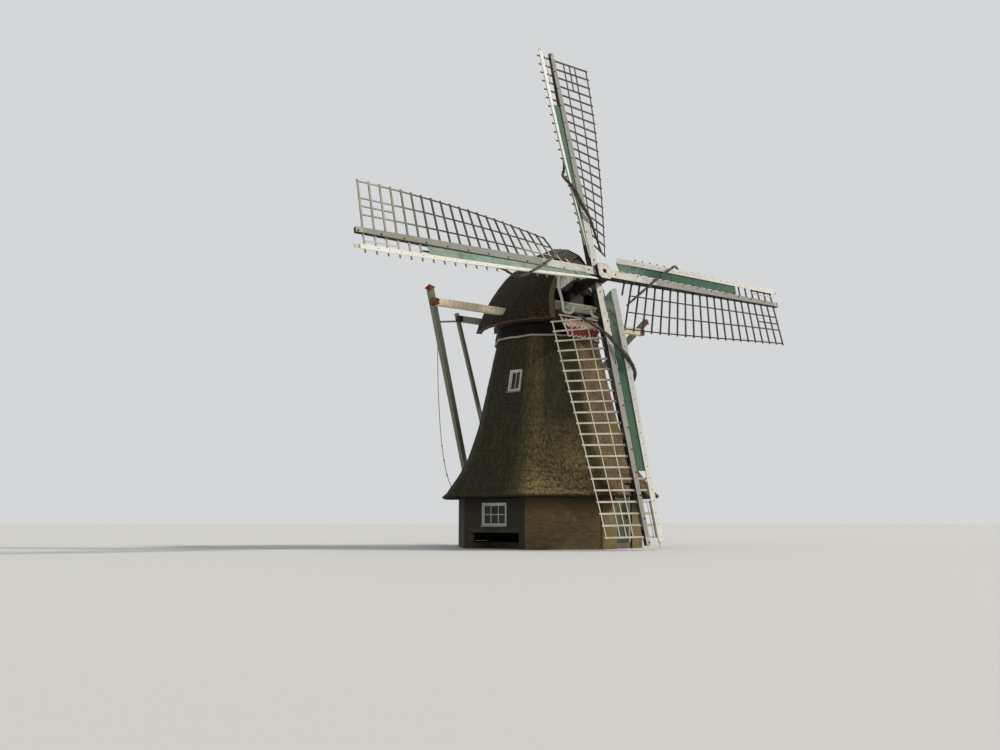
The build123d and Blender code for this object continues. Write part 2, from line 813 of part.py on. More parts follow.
def winch():
    """The winding winch near the tail's foot, on the side away from the tower."""
    run = Vector(*tail_point(tail_foot_z)) - Vector(*tail_point(tail_top_z))
    run = run.normalized()
    outward = Vector(0, -run.Z, run.Y)
    seat = Vector(*tail_point(tail_foot_z)) - run * winch_up_tail + outward * (tail_width / 2)
    axis = seat + outward * (winch_barrel_radius * 1.6)
    barrel = Pos(axis.X, axis.Y, axis.Z) * Rot(0, 90, 0) * Cylinder(winch_barrel_radius, winch_barrel_length)
    for side in (-1, 1):
        start = seat + Vector(side * (tail_width / 2 - 40), 0, 0)
        cheek = bar_between(start, axis + outward * winch_barrel_radius * 1.4
                            + Vector(side * (tail_width / 2 - 40), 0, 0), 80, 220)
        barrel += cheek
    wheel_x = winch_barrel_length / 2 - winch_rim / 2
    centre = Vector(wheel_x, axis.Y, axis.Z)
    rim = Circle(winch_wheel_radius) - Circle(winch_wheel_radius - winch_rim)
    plane = Plane(origin=centre - Vector(winch_rim / 2, 0, 0), x_dir=(0, 1, 0), z_dir=(1, 0, 0))
    wheel = extrude(plane * rim, winch_rim)
    for turn in range(4):
        spoke = Rectangle(2 * winch_wheel_radius - winch_rim, winch_spoke)
        wheel += extrude(plane * Rot(0, 0, 45 * turn) * spoke, winch_rim)
    parts["winding_winch"] = barrel + wheel


# Windshaft and sails

def shaft_place():
    """From the sails' own frame to the mill: their axis is Y, their front is -Y."""
    return Pos(0, -hub_forward, hub_height) * Rot(-sail_axis_tilt, 0, 0)


def sail_place(arm):
    """The place of one arm, which is modelled pointing up."""
    return shaft_place() * Rot(0, sail_rest_turn + 90 * arm, 0)


def shaft_body(extra=0.0, past=0.0):
    """The windshaft behind the poll end, tapering to its tail, or the bore that clears it."""
    end = shaft_length + past
    outline = [(0, poll_back), (neck_radius + extra, poll_back), (neck_radius + extra, poll_back + 900),
               (shaft_tail_radius + extra, poll_back + 1300), (shaft_tail_radius + extra, end),
               (0, end)]
    return revolve(Plane.XY * Polygon(*outline, align=None), Axis.Y)


def stock():
    """One stock, tip to tip, mortised for the bars of its two sails."""
    arm = stacked([corners(Pos(0, 0, 0), stock_width, stock_depth),
                   corners(Pos(0, 0, stock_straight), stock_width, stock_depth),
                   corners(Pos(0, 0, sail_reach), stock_tip_width, stock_tip_depth)])
    mortises = [bar_solid(along, -stock_width, stock_width) for along in [root_bar] + bar_places()]
    arm = arm.cut(*mortises)
    return arm + Rot(0, 180, 0) * arm


def stock_layer(arm):
    """How far the arm's stock stands off the hub's middle: negative is forward."""
    return -stock_spacing / 2 if arm % 2 else stock_spacing / 2


def weather(along):
    """The sail's twist at a distance from the hub, in degrees: steep at the root, none at the tip."""
    share = (last_bar - along) / (last_bar - first_bar)
    return weather_root * max(share, 0.0) ** weather_power


def trailing_reach(along):
    """How far the lattice reaches behind the stock at a distance from the hub."""
    share = (along - first_bar) / (last_bar - first_bar)
    return trailing_root + (trailing_tip - trailing_root) * share


def bar_places():
    """Distances of the bars from the hub."""
    step = (last_bar - first_bar) / (bar_count - 1)
    return [first_bar + step * index for index in range(bar_count)]


def bar_frame(along):
    """A frame on the bar: X towards the trailing edge, Y back, Z out along the arm."""
    return Pos(0, 0, along) * Rot(0, 0, weather(along))


def bar_solid(along, start, end, extra=0.0):
    """One bar between two places across the sail."""
    bar = box_between((start, -bar_thickness / 2 - extra, -bar_width / 2 - extra),
                      (end, bar_thickness / 2 + extra, bar_width / 2 + extra))
    return bar_frame(along) * bar


def lath_between(along_a, along_b, across_a, across_b):
    """One straight piece of lath from bar to bar, following the twist."""
    ends = []
    for along, across in ((along_a, across_a), (along_b, across_b)):
        ends.append(corners(bar_frame(along) * Pos(across, 0, 0), lath_width, lath_thickness))
    return stacked(ends)


def sail_lattice():
    """Bars and laths of one sail, fused where they cross, and the short bar at its root."""
    places = bar_places()
    bays = list(zip(places, places[1:]))
    bar_start = -leading_width + leading_edge_width / 2
    solids = []
    for along in places:
        solids.append(bar_solid(along, bar_start, trailing_reach(along) + bar_end_past_lath))
    runs = [(share, bay) for share in lath_places for bay in bays]
    runs += [(tip_lath_place, bay) for bay in bays[-tip_lath_bays:]]
    for share, (first, second) in runs:
        solids.append(lath_between(first, second, trailing_reach(first) * share,
                                   trailing_reach(second) * share))
    for first, second in bays[-leading_lath_bays:]:
        solids.append(lath_between(first, second, -leading_lath_across, -leading_lath_across))
    main = solids[0].fuse(*solids[1:])
    return [main, bar_solid(root_bar, bar_start, root_bar_end)]


def leading_strip(start, end, near, far, thickness):
    """A flat strip on the leading side, on the front of the bars, turning with them."""
    bars = [root_bar] + bar_places()
    stops = [start] + [along for along in bars if start < along < end] + [end]
    outlines = []
    for along in stops:
        centre = -(near + far) / 2
        place = bar_frame(along) * Pos(centre, -bar_thickness / 2 - strip_lift - thickness / 2, 0)
        outlines.append(corners(place, far - near, thickness))
    return stacked(outlines)


def leading_edge():
    """The pale board along the leading side of one sail."""
    near = leading_width - leading_edge_width
    return leading_strip(windboard_start, leading_edge_reach, near, leading_width, leading_edge_thickness)


def windboards():
    """The green boards between the stock and the leading edge of one sail."""
    step = (windboard_end - windboard_start) / windboard_count
    boards = []
    for index in range(windboard_count):
        start = windboard_start + step * index
        end = start + step - windboard_gap
        turn = math.radians(weather(start))
        front = bar_thickness / 2 + strip_lift + windboard_thickness
        near = (stock_width / 2 + front * math.sin(turn)) / math.cos(turn) + board_rise
        far = leading_width - leading_edge_width - 2
        boards.append(leading_strip(start, end, near, far, windboard_thickness))
        if index == 0:
            notch = Rot(90, 0, 0) * Cylinder(windboard_notch, windboard_notch)
            boards[0] -= bar_frame(start) * Pos(-near, 0, 0) * notch
    return boards


def furled_sail():
    """The rolled cloth of one sail: over the stock, round the leading edge, up the back."""
    return bundle(furl_route, furl_radius)


def sails():
    """Stocks, lattices, boards and furled cloths, placed on the windshaft."""
    lattice = sail_lattice()
    board_set = windboards()
    edge = leading_edge()
    furl = furled_sail()
    whole_stock = stock()
    edges = []
    boards = []
    furls = []
    for arm in range(4):
        place = sail_place(arm) * Pos(0, stock_layer(arm), 0)
        parts["sail_lattice_%d" % (arm + 1)] = group(*[place * piece for piece in lattice])
        boards += [place * board for board in board_set]
        edges.append(place * edge)
        furls.append(place * furl)
    parts["leading_edges"] = group(*edges)
    parts["windboards"] = group(*boards)
    parts["furled_sails"] = group(*furls)
    shaft = shaft_place() * shaft_body()
    body = box_between((-poll_width / 2, -poll_front, -poll_width / 2),
                       (poll_width / 2, poll_back, poll_width / 2))
    body = chamfer(body.edges().filter_by(Axis.Y), poll_corner)
    body -= Pos(0, -poll_front, 0) * Rot(90, 0, 0) * Cylinder(poll_hole_radius, poll_hole_depth * 2)
    poll = shaft_place() * Rot(0, sail_rest_turn, 0) * body
    for arm, name in enumerate(("inner_stock", "outer_stock")):
        placed = sail_place(arm) * Pos(0, stock_layer(arm), 0) * whole_stock
        poll -= placed
        parts[name] = placed
    parts["windshaft"] = shaft + poll


base_walls()
floor()
doors()
windows()
smock_thatch()
corner_posts()
curb()
cap_frame()
shaft_bearings()
cap_thatch_parts()
ridge_cover()
gables()
bargeboards()
beard()
tail()
winch()
sails()

for name, shape in parts.items():
    export_step(shape, "parts/%s.step" % name)
    print(name, len(shape.solids()), round(shape.volume / 1e9, 4))
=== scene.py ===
"""Dresses the frame of a thatched drainage mill with its finishes and small pieces.

Metres, +Z up. The sails stand in front of the tower at -Y and the tail hangs behind it.
"""
import json
import math
from functools import partial

import bpy
from mathutils import Matrix, Vector, noise


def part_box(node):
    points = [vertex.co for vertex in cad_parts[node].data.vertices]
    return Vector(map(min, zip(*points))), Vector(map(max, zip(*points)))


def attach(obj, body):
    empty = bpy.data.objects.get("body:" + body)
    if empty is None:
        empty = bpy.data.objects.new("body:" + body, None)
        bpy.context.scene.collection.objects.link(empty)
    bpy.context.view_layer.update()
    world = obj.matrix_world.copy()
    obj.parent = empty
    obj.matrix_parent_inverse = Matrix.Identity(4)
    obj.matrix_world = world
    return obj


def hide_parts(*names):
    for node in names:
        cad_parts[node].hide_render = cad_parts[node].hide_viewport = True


bl_info = {
    "name": "Thatched Mill",
    "version": (1, 0, 0),
    "blender": (4, 5, 0),
    "location": "View3D > Sidebar > Mill",
    "description": "Finishes and small pieces of a thatched drainage mill",
    "category": "Object",
}

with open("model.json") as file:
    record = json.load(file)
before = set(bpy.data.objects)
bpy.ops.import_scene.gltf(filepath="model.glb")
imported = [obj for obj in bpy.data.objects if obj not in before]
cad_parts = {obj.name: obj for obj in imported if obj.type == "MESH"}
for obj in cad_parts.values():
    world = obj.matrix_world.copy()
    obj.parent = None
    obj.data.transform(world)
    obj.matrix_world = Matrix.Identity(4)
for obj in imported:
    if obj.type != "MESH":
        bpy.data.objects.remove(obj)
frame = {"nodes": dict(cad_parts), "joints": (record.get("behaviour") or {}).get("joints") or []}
nodes = frame["nodes"]
joints = {joint["name"]: joint for joint in frame["joints"]}

# Places that the frame gives
hub = Vector(joints["sail_turn"]["pos_m"])
forward = Vector(joints["sail_turn"]["axis"])
shaft_tilt = math.atan2(forward.z, -forward.y)
rest_turn = math.radians(-0.6)

# Tower plan
side_angle = math.radians(45)
door_turn = math.radians(16.4)
wall_face = 3.39 * math.cos(side_angle / 2)
thatch_lean = math.atan2(0.3973, 1.87)
upper_window_face = 2.2419
outlet_top = 0.64
# Direction of the sunlight that is painted into the reed
painted_sun_direction = Vector((0.86, -0.5, 0.1)).normalized()

# The curb's trim: corners nearer to the middle than this lie on its inner side
trim_inner_reach = 1.78
trim_inner_grow = 1.036

# Height of the ridge along the cap, and the boards that lap down from it
ridge_line = [(-1.92, 10.37), (-1.3, 10.73), (-0.5, 10.93), (0.51, 10.92)]
ridge_slope = math.atan(0.95)
ridge_board_width = 0.118
ridge_board_step = 0.0845

# The scalloped beard under the front of the cap
beard_foot = 7.42
beard_top = 8.06
beard_front = -2.07
beard_back = -2.036
beard_foot_half = 0.69
beard_top_half = 1.05
scallop_count = 7
scallop_width = beard_foot_half * 2 / scallop_count
scallop_centres = [-beard_foot_half + scallop_width * (number + 0.5) for number in range(scallop_count)]

# Stocks and bars, in the sails' own frame
stock_spacing = 0.29
stock_straight = 1.2
stock_reach = 9.5
plank_end = 9.42
first_bar = 1.53
last_bar = 9.23
bar_count = 21
weather_root = math.radians(28.5)
weather_power = 1.4

# Places along a rolled sail cloth where a line ties it
tie_places = [0.4, 1.15, 1.9, 2.7, 3.5, 4.4, 5.3, 6.15]


# Finishes

def linear(colour):
    """Turns an sRGB hex value into the linear colour that a shader takes."""
    channels = [int(colour[place:place + 2], 16) / 255 for place in (1, 3, 5)]
    return tuple(c / 12.92 if c <= 0.04045 else ((c + 0.055) / 1.055) ** 2.4 for c in channels) + (1.0,)


def node(tree, kind, *values, take=0, stops=(), **settings):
    """Adds a node and gives back the output to take, or all of them where take is None.

    A word after the kind is its operation, or the data type of a mix. Values and links go to the
    open sockets in their order, or by name with _ for a space. Hex values are turned into colours.
    """
    kind, _, mode = kind.partition(" ")
    made = tree.nodes.new("ShaderNode" + kind)
    if mode:
        setattr(made, "data_type" if kind == "Mix" else "operation", mode)
    plugs = []
    for name, value in settings.items():
        socket = made.inputs.get(name.replace("_", " "))
        if socket is None:
            setattr(made, name, value)
        else:
            plugs.append((socket, value))
    if stops:
        ramp = made.color_ramp.elements
        colours = [(place, linear(shade) if isinstance(shade, str) else (shade, shade, shade, 1.0))
                   for place, shade in stops]
        ramp[0].position, ramp[0].color = colours[0]
        ramp[1].position, ramp[1].color = colours[-1]
        for place, shade in colours[1:-1]:
            ramp.new(place).color = shade
    plugs += zip([socket for socket in made.inputs if socket.enabled], values)
    for socket, value in plugs:
        if isinstance(value, bpy.types.NodeSocket):
            tree.links.new(value, socket)
        else:
            socket.default_value = linear(value) if isinstance(value, str) else value
    if take is None:
        return list(made.outputs)
    if isinstance(take, str):
        return made.outputs[take]
    shown = [socket for socket in made.outputs if socket.enabled]
    return shown[take] if shown else None


def finish(name):
    """A new material without nodes, and what adds a node to it."""
    material = bpy.data.materials.new(name)
    material.use_nodes = True
    material.node_tree.nodes.clear()
    return material, partial(node, material.node_tree)


def surface(add, colour, roughness, height=None, strength=0.0, distance=0.0, **looks):
    """Gives a material its one shader, with a bump where it has a height."""
    if height is not None:
        looks["Normal"] = add("Bump", Height=height, Strength=strength, Distance=distance)
    add("OutputMaterial", add("BsdfPrincipled", Base_Color=colour, Roughness=roughness, **looks))


def patches(add, place, scale, low, high):
    """A patchy share from 0 to 1, with its soft edge between two levels of the pattern."""
    return add("ValToRGB", add("TexNoise", place, scale, 6.0, 0.62), stops=[(low, 0.0), (high, 1.0)])


def product(add, *ranges):
    """The product of several shares, each of which goes from 0 to 1 between two marks of a value."""
    share = add("MapRange", *ranges[0])
    for marks in ranges[1:]:
        share = add("Math MULTIPLY", share, add("MapRange", *marks))
    return share


def stained(add, colour, share, strength, stain):
    """A colour with a stain over it, which is as strong as its share allows."""
    return add("Mix RGBA", add("Math MULTIPLY", share, strength), colour, stain)


def darkened(add, colour, strength, pattern, *stops):
    """A colour multiplied by the greys of a pattern."""
    return add("Mix RGBA", strength, colour, add("ValToRGB", pattern, stops=stops), blend_type="MULTIPLY")


def facing(add, direction, low, high):
    """How far a surface faces a direction, as a share between two cosines."""
    cosine = add("VectorMath DOT_PRODUCT", add("TexCoord", take="Normal"), direction)
    return add("MapRange", cosine, low, high)


def beyond(add, out, start, blur, place):
    """A share that rises from 0 to 1 where a distance passes a mark, with a ragged edge."""
    moved_mark = add("Math MULTIPLY_ADD", add("TexNoise", place, 9.0, 4.0), blur * 2, out)
    return add("MapRange", moved_mark, start + blur * 0.7, start + blur * 1.3)


def from_hub(add):
    """The way from the hub to a place."""
    return add("VectorMath SUBTRACT", add("TexCoord", take="Object"), hub)


def leading_side(add, low, high):
    """How far a surface faces the leading side of its sail."""
    lead = add("VectorMath CROSS_PRODUCT", forward, from_hub(add))
    return facing(add, add("VectorMath NORMALIZE", lead), low, high)


def sail_places(add, place):
    """Places in the sails' frame: X across the nearer stock, Y back, Z out from the hub."""
    turn = (Matrix.Rotation(-shaft_tilt, 3, "X") @ Matrix.Rotation(rest_turn, 3, "Y")).to_euler()
    x, y, z = add("SeparateXYZ", add("Mapping", place, hub, turn, vector_type="TEXTURE"), take=None)
    side, up = add("Math ABSOLUTE", x), add("Math ABSOLUTE", z)
    out = add("Math MAXIMUM", side, up)
    # The pattern on one pair of sails lies seven metres from the other's, so that they differ
    pair = add("Math GREATER_THAN", z, x)
    across = add("Math MULTIPLY_ADD", pair, 7.0, add("Math MINIMUM", side, up))
    return add("CombineXYZ", across, y, out), out


def round_curb(add, place):
    """Boards that lie round the curb, one above another: X runs up them and Z round the tower."""
    x, y, z = add("SeparateXYZ", place, take=None)
    return add("CombineXYZ", z, 0, add("Math ADD", x, y)), z


def upright(add, place):
    """Timber that stands: its grain runs up."""
    return place, add("SeparateXYZ", place, take=2)


def crosswise(add, place):
    """Timber that lies across the cap: its grain runs along X."""
    local = add("Mapping", place, (0, 0, 0), (0, math.radians(90), 0))
    return local, add("Math ABSOLUTE", add("SeparateXYZ", place))


def lengthwise(add, place):
    """Timber that lies along the cap: its grain runs along Y."""
    return add("Mapping", place, (0, 0, 0), (math.radians(90), 0, 0)), add("SeparateXYZ", place, take=1)


def timber(name, places, paint, bare, dirt, peel=0.62, seams=0.0):
    """Weathered timber: a coat of paint that has dulled in patches and flaked to the wood."""
    material, add = finish(name)
    local, out = places(add, add("TexCoord", take="Object"))
    # Growth rings show as lines about 9 mm apart and 400 mm long
    grain = add("TexNoise", add("VectorMath MULTIPLY", local, (110, 110, 2.5)), 1.0, 5.0, 0.6)
    # Flakes of lost paint, about 40 mm wide and 200 mm long
    flakes = patches(add, add("VectorMath MULTIPLY", local, (24, 24, 4.5)), 1.0, peel, peel + 0.06)
    streaks = (grain, (0.3, 0.66), (0.65, 1.0))
    coat = darkened(add, paint(add, local, out) if callable(paint) else paint, 1.0, *streaks)
    coat = stained(add, coat, patches(add, local, 2.4, 0.42, 0.72), 0.55, dirt)
    colour = add("Mix RGBA", flakes, coat, darkened(add, bare, 1.0, *streaks))
    height = add("Math MULTIPLY_ADD", flakes, -0.6, grain)
    if seams:
        # Boards laid side by side, with a dark joint about 16 mm wide between them
        cell = add("Math FRACT", add("Math DIVIDE", add("SeparateXYZ", local), seams))
        edge = add("Math ABSOLUTE", add("Math SUBTRACT", cell, 0.5))
        joint = add("MapRange", edge, 0.5 - 0.012 / seams, 0.5 - 0.004 / seams)
        colour = add("Mix RGBA", joint, colour, "#141210")
        height = add("Math MULTIPLY_ADD", joint, -2.0, height)
    rough = add("MapRange", flakes, 0, 1, 0.6, 0.9)
    surface(add, colour, rough, height, 0.5, 0.004, Specular_IOR_Level=0.12)
    return material


def stock_paint(add, local, out):
    """Grey-brown timber, white on its front near the hub and near the tip, dark on its
    sides, and green where the boards lie against it."""
    shade = add("Mix RGBA", beyond(add, out, 2.6, 0.05, local), "#e2e1d8", "#a4a29a")
    shade = add("Mix RGBA", beyond(add, out, 9.25, 0.04, local), shade, "#c9c3b2")
    lined = product(add, (out, 1.25, 1.3), (out, 7.06, 7.04))
    boards = add("Math MULTIPLY", lined, leading_side(add, 0.6, 0.8))
    side = add("Mix RGBA", boards, "#1b1a18", "#62826f")
    return add("Mix RGBA", facing(add, forward, 0.55, 0.8), side, shade)


def bar_paint(add, local, out):
    """Cream on the front of the bars and laths, painted dark as shade on their sides and on the fronts of all
    sails but one.
    """
    place = add("TexCoord", take="Object")
    level = add("VectorMath DOT_PRODUCT", place, (2, 0, 1))
    across, _, rise = add("SeparateXYZ", place, take=None)
    unshaded_share = product(add, (level, 9.85, 9.6), (rise, 9.5, 9.3))
    # On the three others cream stays only at both ends of the left sail
    outer = add("MapRange", across, -6.8, -8.6, 0, 0.75)
    inner = product(add, (across, -3.3, -2.8), (across, -0.9, -1.1), (rise, hub.z + 0.95, hub.z + 0.55))
    for end in (outer, inner):
        unshaded_share = add("Math MAXIMUM", unshaded_share, end)
    # Elsewhere the fronts are dark brown: painted shade where the cream bars stand against the sky
    dark = stained(add, "#474137", patches(add, local, 6.0, 0.5, 0.7), 0.5, "#8d8470")
    front = add("Mix RGBA", unshaded_share, dark, chosen("cream"))
    # Faces that look away from the front are dark: painted shade on the sides of the bars
    return add("Mix RGBA", facing(add, forward, 0.62, 0.82), "#332e27", front)


def board_paint(add, local, out):
    """Green paint that has bleached near the hub."""
    worn = add("Math MULTIPLY", patches(add, local, 5.0, 0.35, 0.6), add("MapRange", out, 2.6, 1.2))
    green = add("Mix RGBA", worn, "#4f705c", "#9fb09c")
    # The sail on the left has bleached all along
    left = add("SeparateXYZ", add("TexCoord", take="Object"))
    return add("Mix RGBA", add("MapRange", left, -1.0, -2.5, 0, 0.75), green, "#b2c4b4")


def poll_paint(add, local, out):
    """The poll end: white on its front face, tarred iron elsewhere, rust in its hole."""
    hole = add("MapRange", add("SeparateXYZ", local, take=1), -0.37, -0.39)
    radius = add("VectorMath LENGTH", add("VectorMath CROSS_PRODUCT", from_hub(add), forward))
    ragged = add("Math MULTIPLY_ADD", patches(add, local, 14.0, 0.3, 0.7), -0.05, radius)
    white = add("Mix RGBA", add("MapRange", ragged, 0.085, 0.05), "#f6f0e6", "#7a4a30")
    shade = add("Mix RGBA", hole, "#4a2519", white)
    return add("Mix RGBA", facing(add, forward, 0.9, 0.97), "#191816", shade)


def beam_paint(add, local, out):
    """Cream paint with a red-brown end and dark checks across it."""
    checks = add("TexWave", local, 1.6, 3.0, 3.0, bands_direction="Z", take=1)
    line = add("ValToRGB", checks, stops=[(0.0, 1.0), (0.09, 0.0)])
    shade = stained(add, "#fff5d4", line, 0.4, "#8a6040")
    return add("Mix RGBA", beyond(add, out, 4.78, 0.02, local), shade, "#5f2c20")


def short_beam_paint(add, local, out):
    """Pale grey timber with a tarred end."""
    return add("Mix RGBA", beyond(add, out, 2.5, 0.02, local), "#a9a798", "#2b2926")


def beard_paint(add, local, out):
    """Dark red board with a pale wave across it and a white rim round each scallop."""
    red = add("Mix RGBA", patches(add, local, 6.0, 0.4, 0.7), "#641a19", "#82302a")
    across = add("SeparateXYZ", local)
    swing = add("Math SINE", add("Math MULTIPLY", across, 2 * math.pi / scallop_width))
    level = add("Math MULTIPLY_ADD", swing, -0.035, out)
    wave = product(add, (level, 7.69, 7.7), (level, 7.95, 7.94))
    # The middle of the board is the middle of a scallop
    cell = add("Math FRACT", add("Math MULTIPLY_ADD", across, 1 / scallop_width, 10.5))
    side = add("Math MULTIPLY", add("Math SUBTRACT", cell, 0.5), scallop_width)
    down = add("Math SUBTRACT", out, beard_foot)
    reach = add("VectorMath LENGTH", add("CombineXYZ", side, down))
    rim = product(add, (reach, 0.058, 0.062), (down, 0.004, 0.0))
    return add("Mix RGBA", rim, add("Mix RGBA", wave, red, "#e0cbb0"), "#ded7cc")


def gable_paint_and_shadow(add, local, out):
    """White boards in the upper corners, dark in a pointed field round the shaft: its opening, and painted
    shadow of the poll and sails.
    """
    across = add("Math ABSOLUTE", add("SeparateXYZ", local))
    slant = add("Math MULTIPLY_ADD", out, 1.35, across)
    # The dark field stands for the shaft's opening and for painted shadow cast on the boards
    return add("Mix RGBA", product(add, (slant, 12.98, 13.0), (out, 9.05, 9.07)), "#1a1917", "#d3d0c4")


def door_frame_paint(add, local, out):
    """White paint over a bare grey threshold."""
    return add("Mix RGBA", add("MapRange", out, 0.23, 0.2), chosen("white"), "#625d50")


def weather_beam_paint(add, local, out):
    """Grey-green paint with a pale line along the top."""
    rise = add("SeparateXYZ", add("TexCoord", take="Object"), take=2)
    return add("Mix RGBA", add("MapRange", rise, 8.565, 8.575), "#9da48b", "#d8d4bf")


def reed(name, tower):
    """Water reed laid as thatch: bundles of stems run down the slope, pale toward the sun and dark
    away from it as painted light and shade, stained and mossy in places, and cut square at the eave."""
    material, add = finish(name)
    place = add("TexCoord", take="Object")
    rise = add("SeparateXYZ", place, take=2)
    if tower:
        unit = add("VectorMath NORMALIZE", add("VectorMath MULTIPLY", place, (1, 1, 0)))
        up = add("CombineXYZ", 0, 0, add("Math MULTIPLY", rise, 0.05))
        # Three metres is the tower's middle radius, so the pattern keeps its size in millimetres
        run = add("VectorMath MULTIPLY_ADD", unit, (3, 3, 0), up)
    else:
        run = add("VectorMath MULTIPLY", place, (0.06, 1.0, 0.06))
    # A bundle of stems is about 25 mm wide where it shows, and a stem 6 mm
    bundles = add("TexNoise", run, 42.0, 3.0, 0.55)
    stems = add("TexNoise", run, 150.0, 2.0)
    tufts = add("TexNoise", place, 15.0, 8.0, 0.72)
    mixed = add("Math MULTIPLY_ADD", bundles, 0.45, add("Math MULTIPLY", tufts, 0.55))
    shades = ("#25241a", "#3c3a2a", "#5d573f") if tower else ("#1d1911", "#332c20", "#554a36")
    dark, pale = (add("ValToRGB", mixed, stops=list(zip((0.38, 0.5, 0.62), ramp)))
                  for ramp in (shades, ("#463828", "#786349", "#a38b68")))
    # Faces toward the sun take the pale ramp and the others the dark one: painted light and shade
    colour = add("Mix RGBA", facing(add, painted_sun_direction, 0.2, 0.85), dark, pale)
    weather_marks = add("TexNoise", place, 1.3, 6.0, 0.62)
    patch = add("ValToRGB", weather_marks, stops=[(0.42, 0.0), (0.62, 0.4)])
    colour = add("Mix RGBA", patch, colour, "#2e2a20")
    height = add("Math MULTIPLY_ADD", stems, 0.5, mixed)
    if tower:
        # Moss, and stems lit pale yellow by painted grazing sunlight, stand in clumps about 40 mm across
        clumps = add("TexNoise", add("VectorMath MULTIPLY", place, (1, 1, 0.36)), 13.0, 9.0, 0.85)
        speck = add("ValToRGB", clumps, stops=[(0.43, 0.0), (0.61, 1.0)])
        arris = add("VectorMath DOT_PRODUCT", unit, (-0.762, -0.648, 0))
        moss = add("Math MULTIPLY", add("MapRange", arris, 0.983, 0.998), speck)
        colour = stained(add, colour, moss, 0.7, "#80724a")
        # Low on the face left of the door face the clumps turn pale yellow: painted grazing sunlight on the
        # stems
        face = add("VectorMath DOT_PRODUCT", unit, (-0.52, -0.854, 0))
        painted_grazing_sun = add("Math MULTIPLY", product(add, (face, 0.925, 0.97), (rise, 4.6, 2.3)), speck)
        colour = stained(add, colour, painted_grazing_sun, 0.9, "#b8a06a")
        # Each course of reed is about 270 mm high, and its butts cast a thin broken shadow
        warp = add("Math MULTIPLY", add("TexNoise", place, 2.6, 4.0), 1.3)
        course = add("Math FRACT", add("Math MULTIPLY_ADD", rise, 3.7, warp))
        line = add("ValToRGB", course, stops=[(0.0, 1.0), (0.2, 0.0)])
        broken = add("Math MULTIPLY", line, patches(add, place, 7.0, 0.36, 0.56))
        deep = add("Math MULTIPLY", broken, add("MapRange", rise, 5.6, 2.6, 0.1, 0.72))
        colour = add("Mix RGBA", deep, colour, "#241d12")
        height = add("Math MULTIPLY_ADD", deep, -1.0, height)
        lip = add("MapRange", rise, 1.85, 1.81)
        colour = stained(add, colour, lip, 0.45, add("Mix RGBA", speck, "#2e2719", "#6a5c3c"))
    straw = ("#4f4630", "#1f1b13") if tower else ("#948469", "#52483a")
    butts = add("ValToRGB", add("TexVoronoi", place, 70.0), stops=list(zip((0.1, 0.7), straw)))
    colour = add("Mix RGBA", facing(add, (0, 0, -1), 0.35, 0.7), colour, butts)
    if not tower:
        colour = add("Mix RGBA", facing(add, (0, -1, 0), 0.8, 0.95), colour, butts)
    surface(add, colour, 0.96, height, 0.9, 0.03, Specular_IOR_Level=0.15)
    return material


def old_brick(name, lying=False):
    """Hand-made brick in lime mortar: courses of 62 mm, painted shadow under the eave, painted light and
    shade on its sides, green near the ground.
    """
    material, add = finish(name)
    place = add("TexCoord", take="Object")
    rise = add("SeparateXYZ", place, take=2)
    flat = place
    if not lying:
        side = add("VectorMath CROSS_PRODUCT", (0, 0, 1), add("TexCoord", take="Normal"))
        flat = add("CombineXYZ", add("VectorMath DOT_PRODUCT", place, side), rise)
    laid = add("VectorMath MULTIPLY_ADD", add("TexNoise", place, 6.0, 3.0, take=1), (0.012, 0.012, 0), flat)
    # Two colours and the mortar's, then the joint of 6 mm and the brick of 220 by 62 mm
    colour, mortar = add("TexBrick", laid, "#786542", "#5d4d32", "#716750", 1.0, 0.006, 0.5, 0.1, 0.22,
                         0.062, take=None)
    # Ochre, lime and rust: the size of the patches, their edge, and the stain
    for scale, low, high, strength, stain in ((0.8, 0.45, 0.68, 0.5, "#8c7038"),
                                              (3.0, 0.58, 0.72, 0.4, "#a39a86"),
                                              (1.5, 0.56, 0.7, 0.45, "#6b3f25")):
        colour = stained(add, colour, patches(add, place, scale, low, high), strength, stain)
    if not lying:
        # The left side is darkened as painted shade, and the two front corners are laid in dark brick
        colour = stained(add, colour, facing(add, (-1, 0, 0), 0.6, 0.8), 0.86, "#1f1f17")
        unit = add("VectorMath NORMALIZE", add("VectorMath MULTIPLY", place, (1, 1, 0)))
        for x, y, near, shade in ((-0.106, -0.994, 0.9994, "#46271b"), (-0.778, -0.628, 0.9998, "#221e15")):
            corner = add("VectorMath DOT_PRODUCT", unit, (x, y, 0))
            colour = add("Mix RGBA", add("MapRange", corner, near, near + 0.0001, 0, 0.75), colour, shade)
    # Faces toward the sun are warmed yellow: painted sunlight
    colour = stained(add, colour, facing(add, (0.94, -0.33, 0), 0.45, 0.9), 0.45, "#9c7c40")
    # Dark under the eave: painted shadow of the eave
    colour = stained(add, colour, add("MapRange", rise, 1.15, 1.62), 0.72, "#1f1b14")
    green = add("Math MULTIPLY", add("MapRange", rise, 0.45, 0.0), patches(add, place, 7.0, 0.4, 0.6))
    colour = stained(add, colour, green, 0.7, "#454a2a")
    height = add("Math MULTIPLY_ADD", mortar, -1.0, add("TexNoise", place, 60.0, 4.0))
    surface(add, colour, 0.92, height, 0.7, 0.008)
    return material


def cut_stone(name, pale, dark):
    """Dressed hard stone, dull and pitted: its grit is 2 mm and drawn at 8 mm so that it shows."""
    material, add = finish(name)
    place = add("TexCoord", take="Object")
    grit = add("TexNoise", place, 120.0, 5.0)
    colour = add("Mix RGBA", patches(add, place, 4.0, 0.4, 0.65), pale, dark)
    colour = darkened(add, colour, 0.35, grit, (0.35, 0.2), (0.6, 1.0))
    surface(add, colour, 0.85, grit, 0.4, 0.004)
    return material


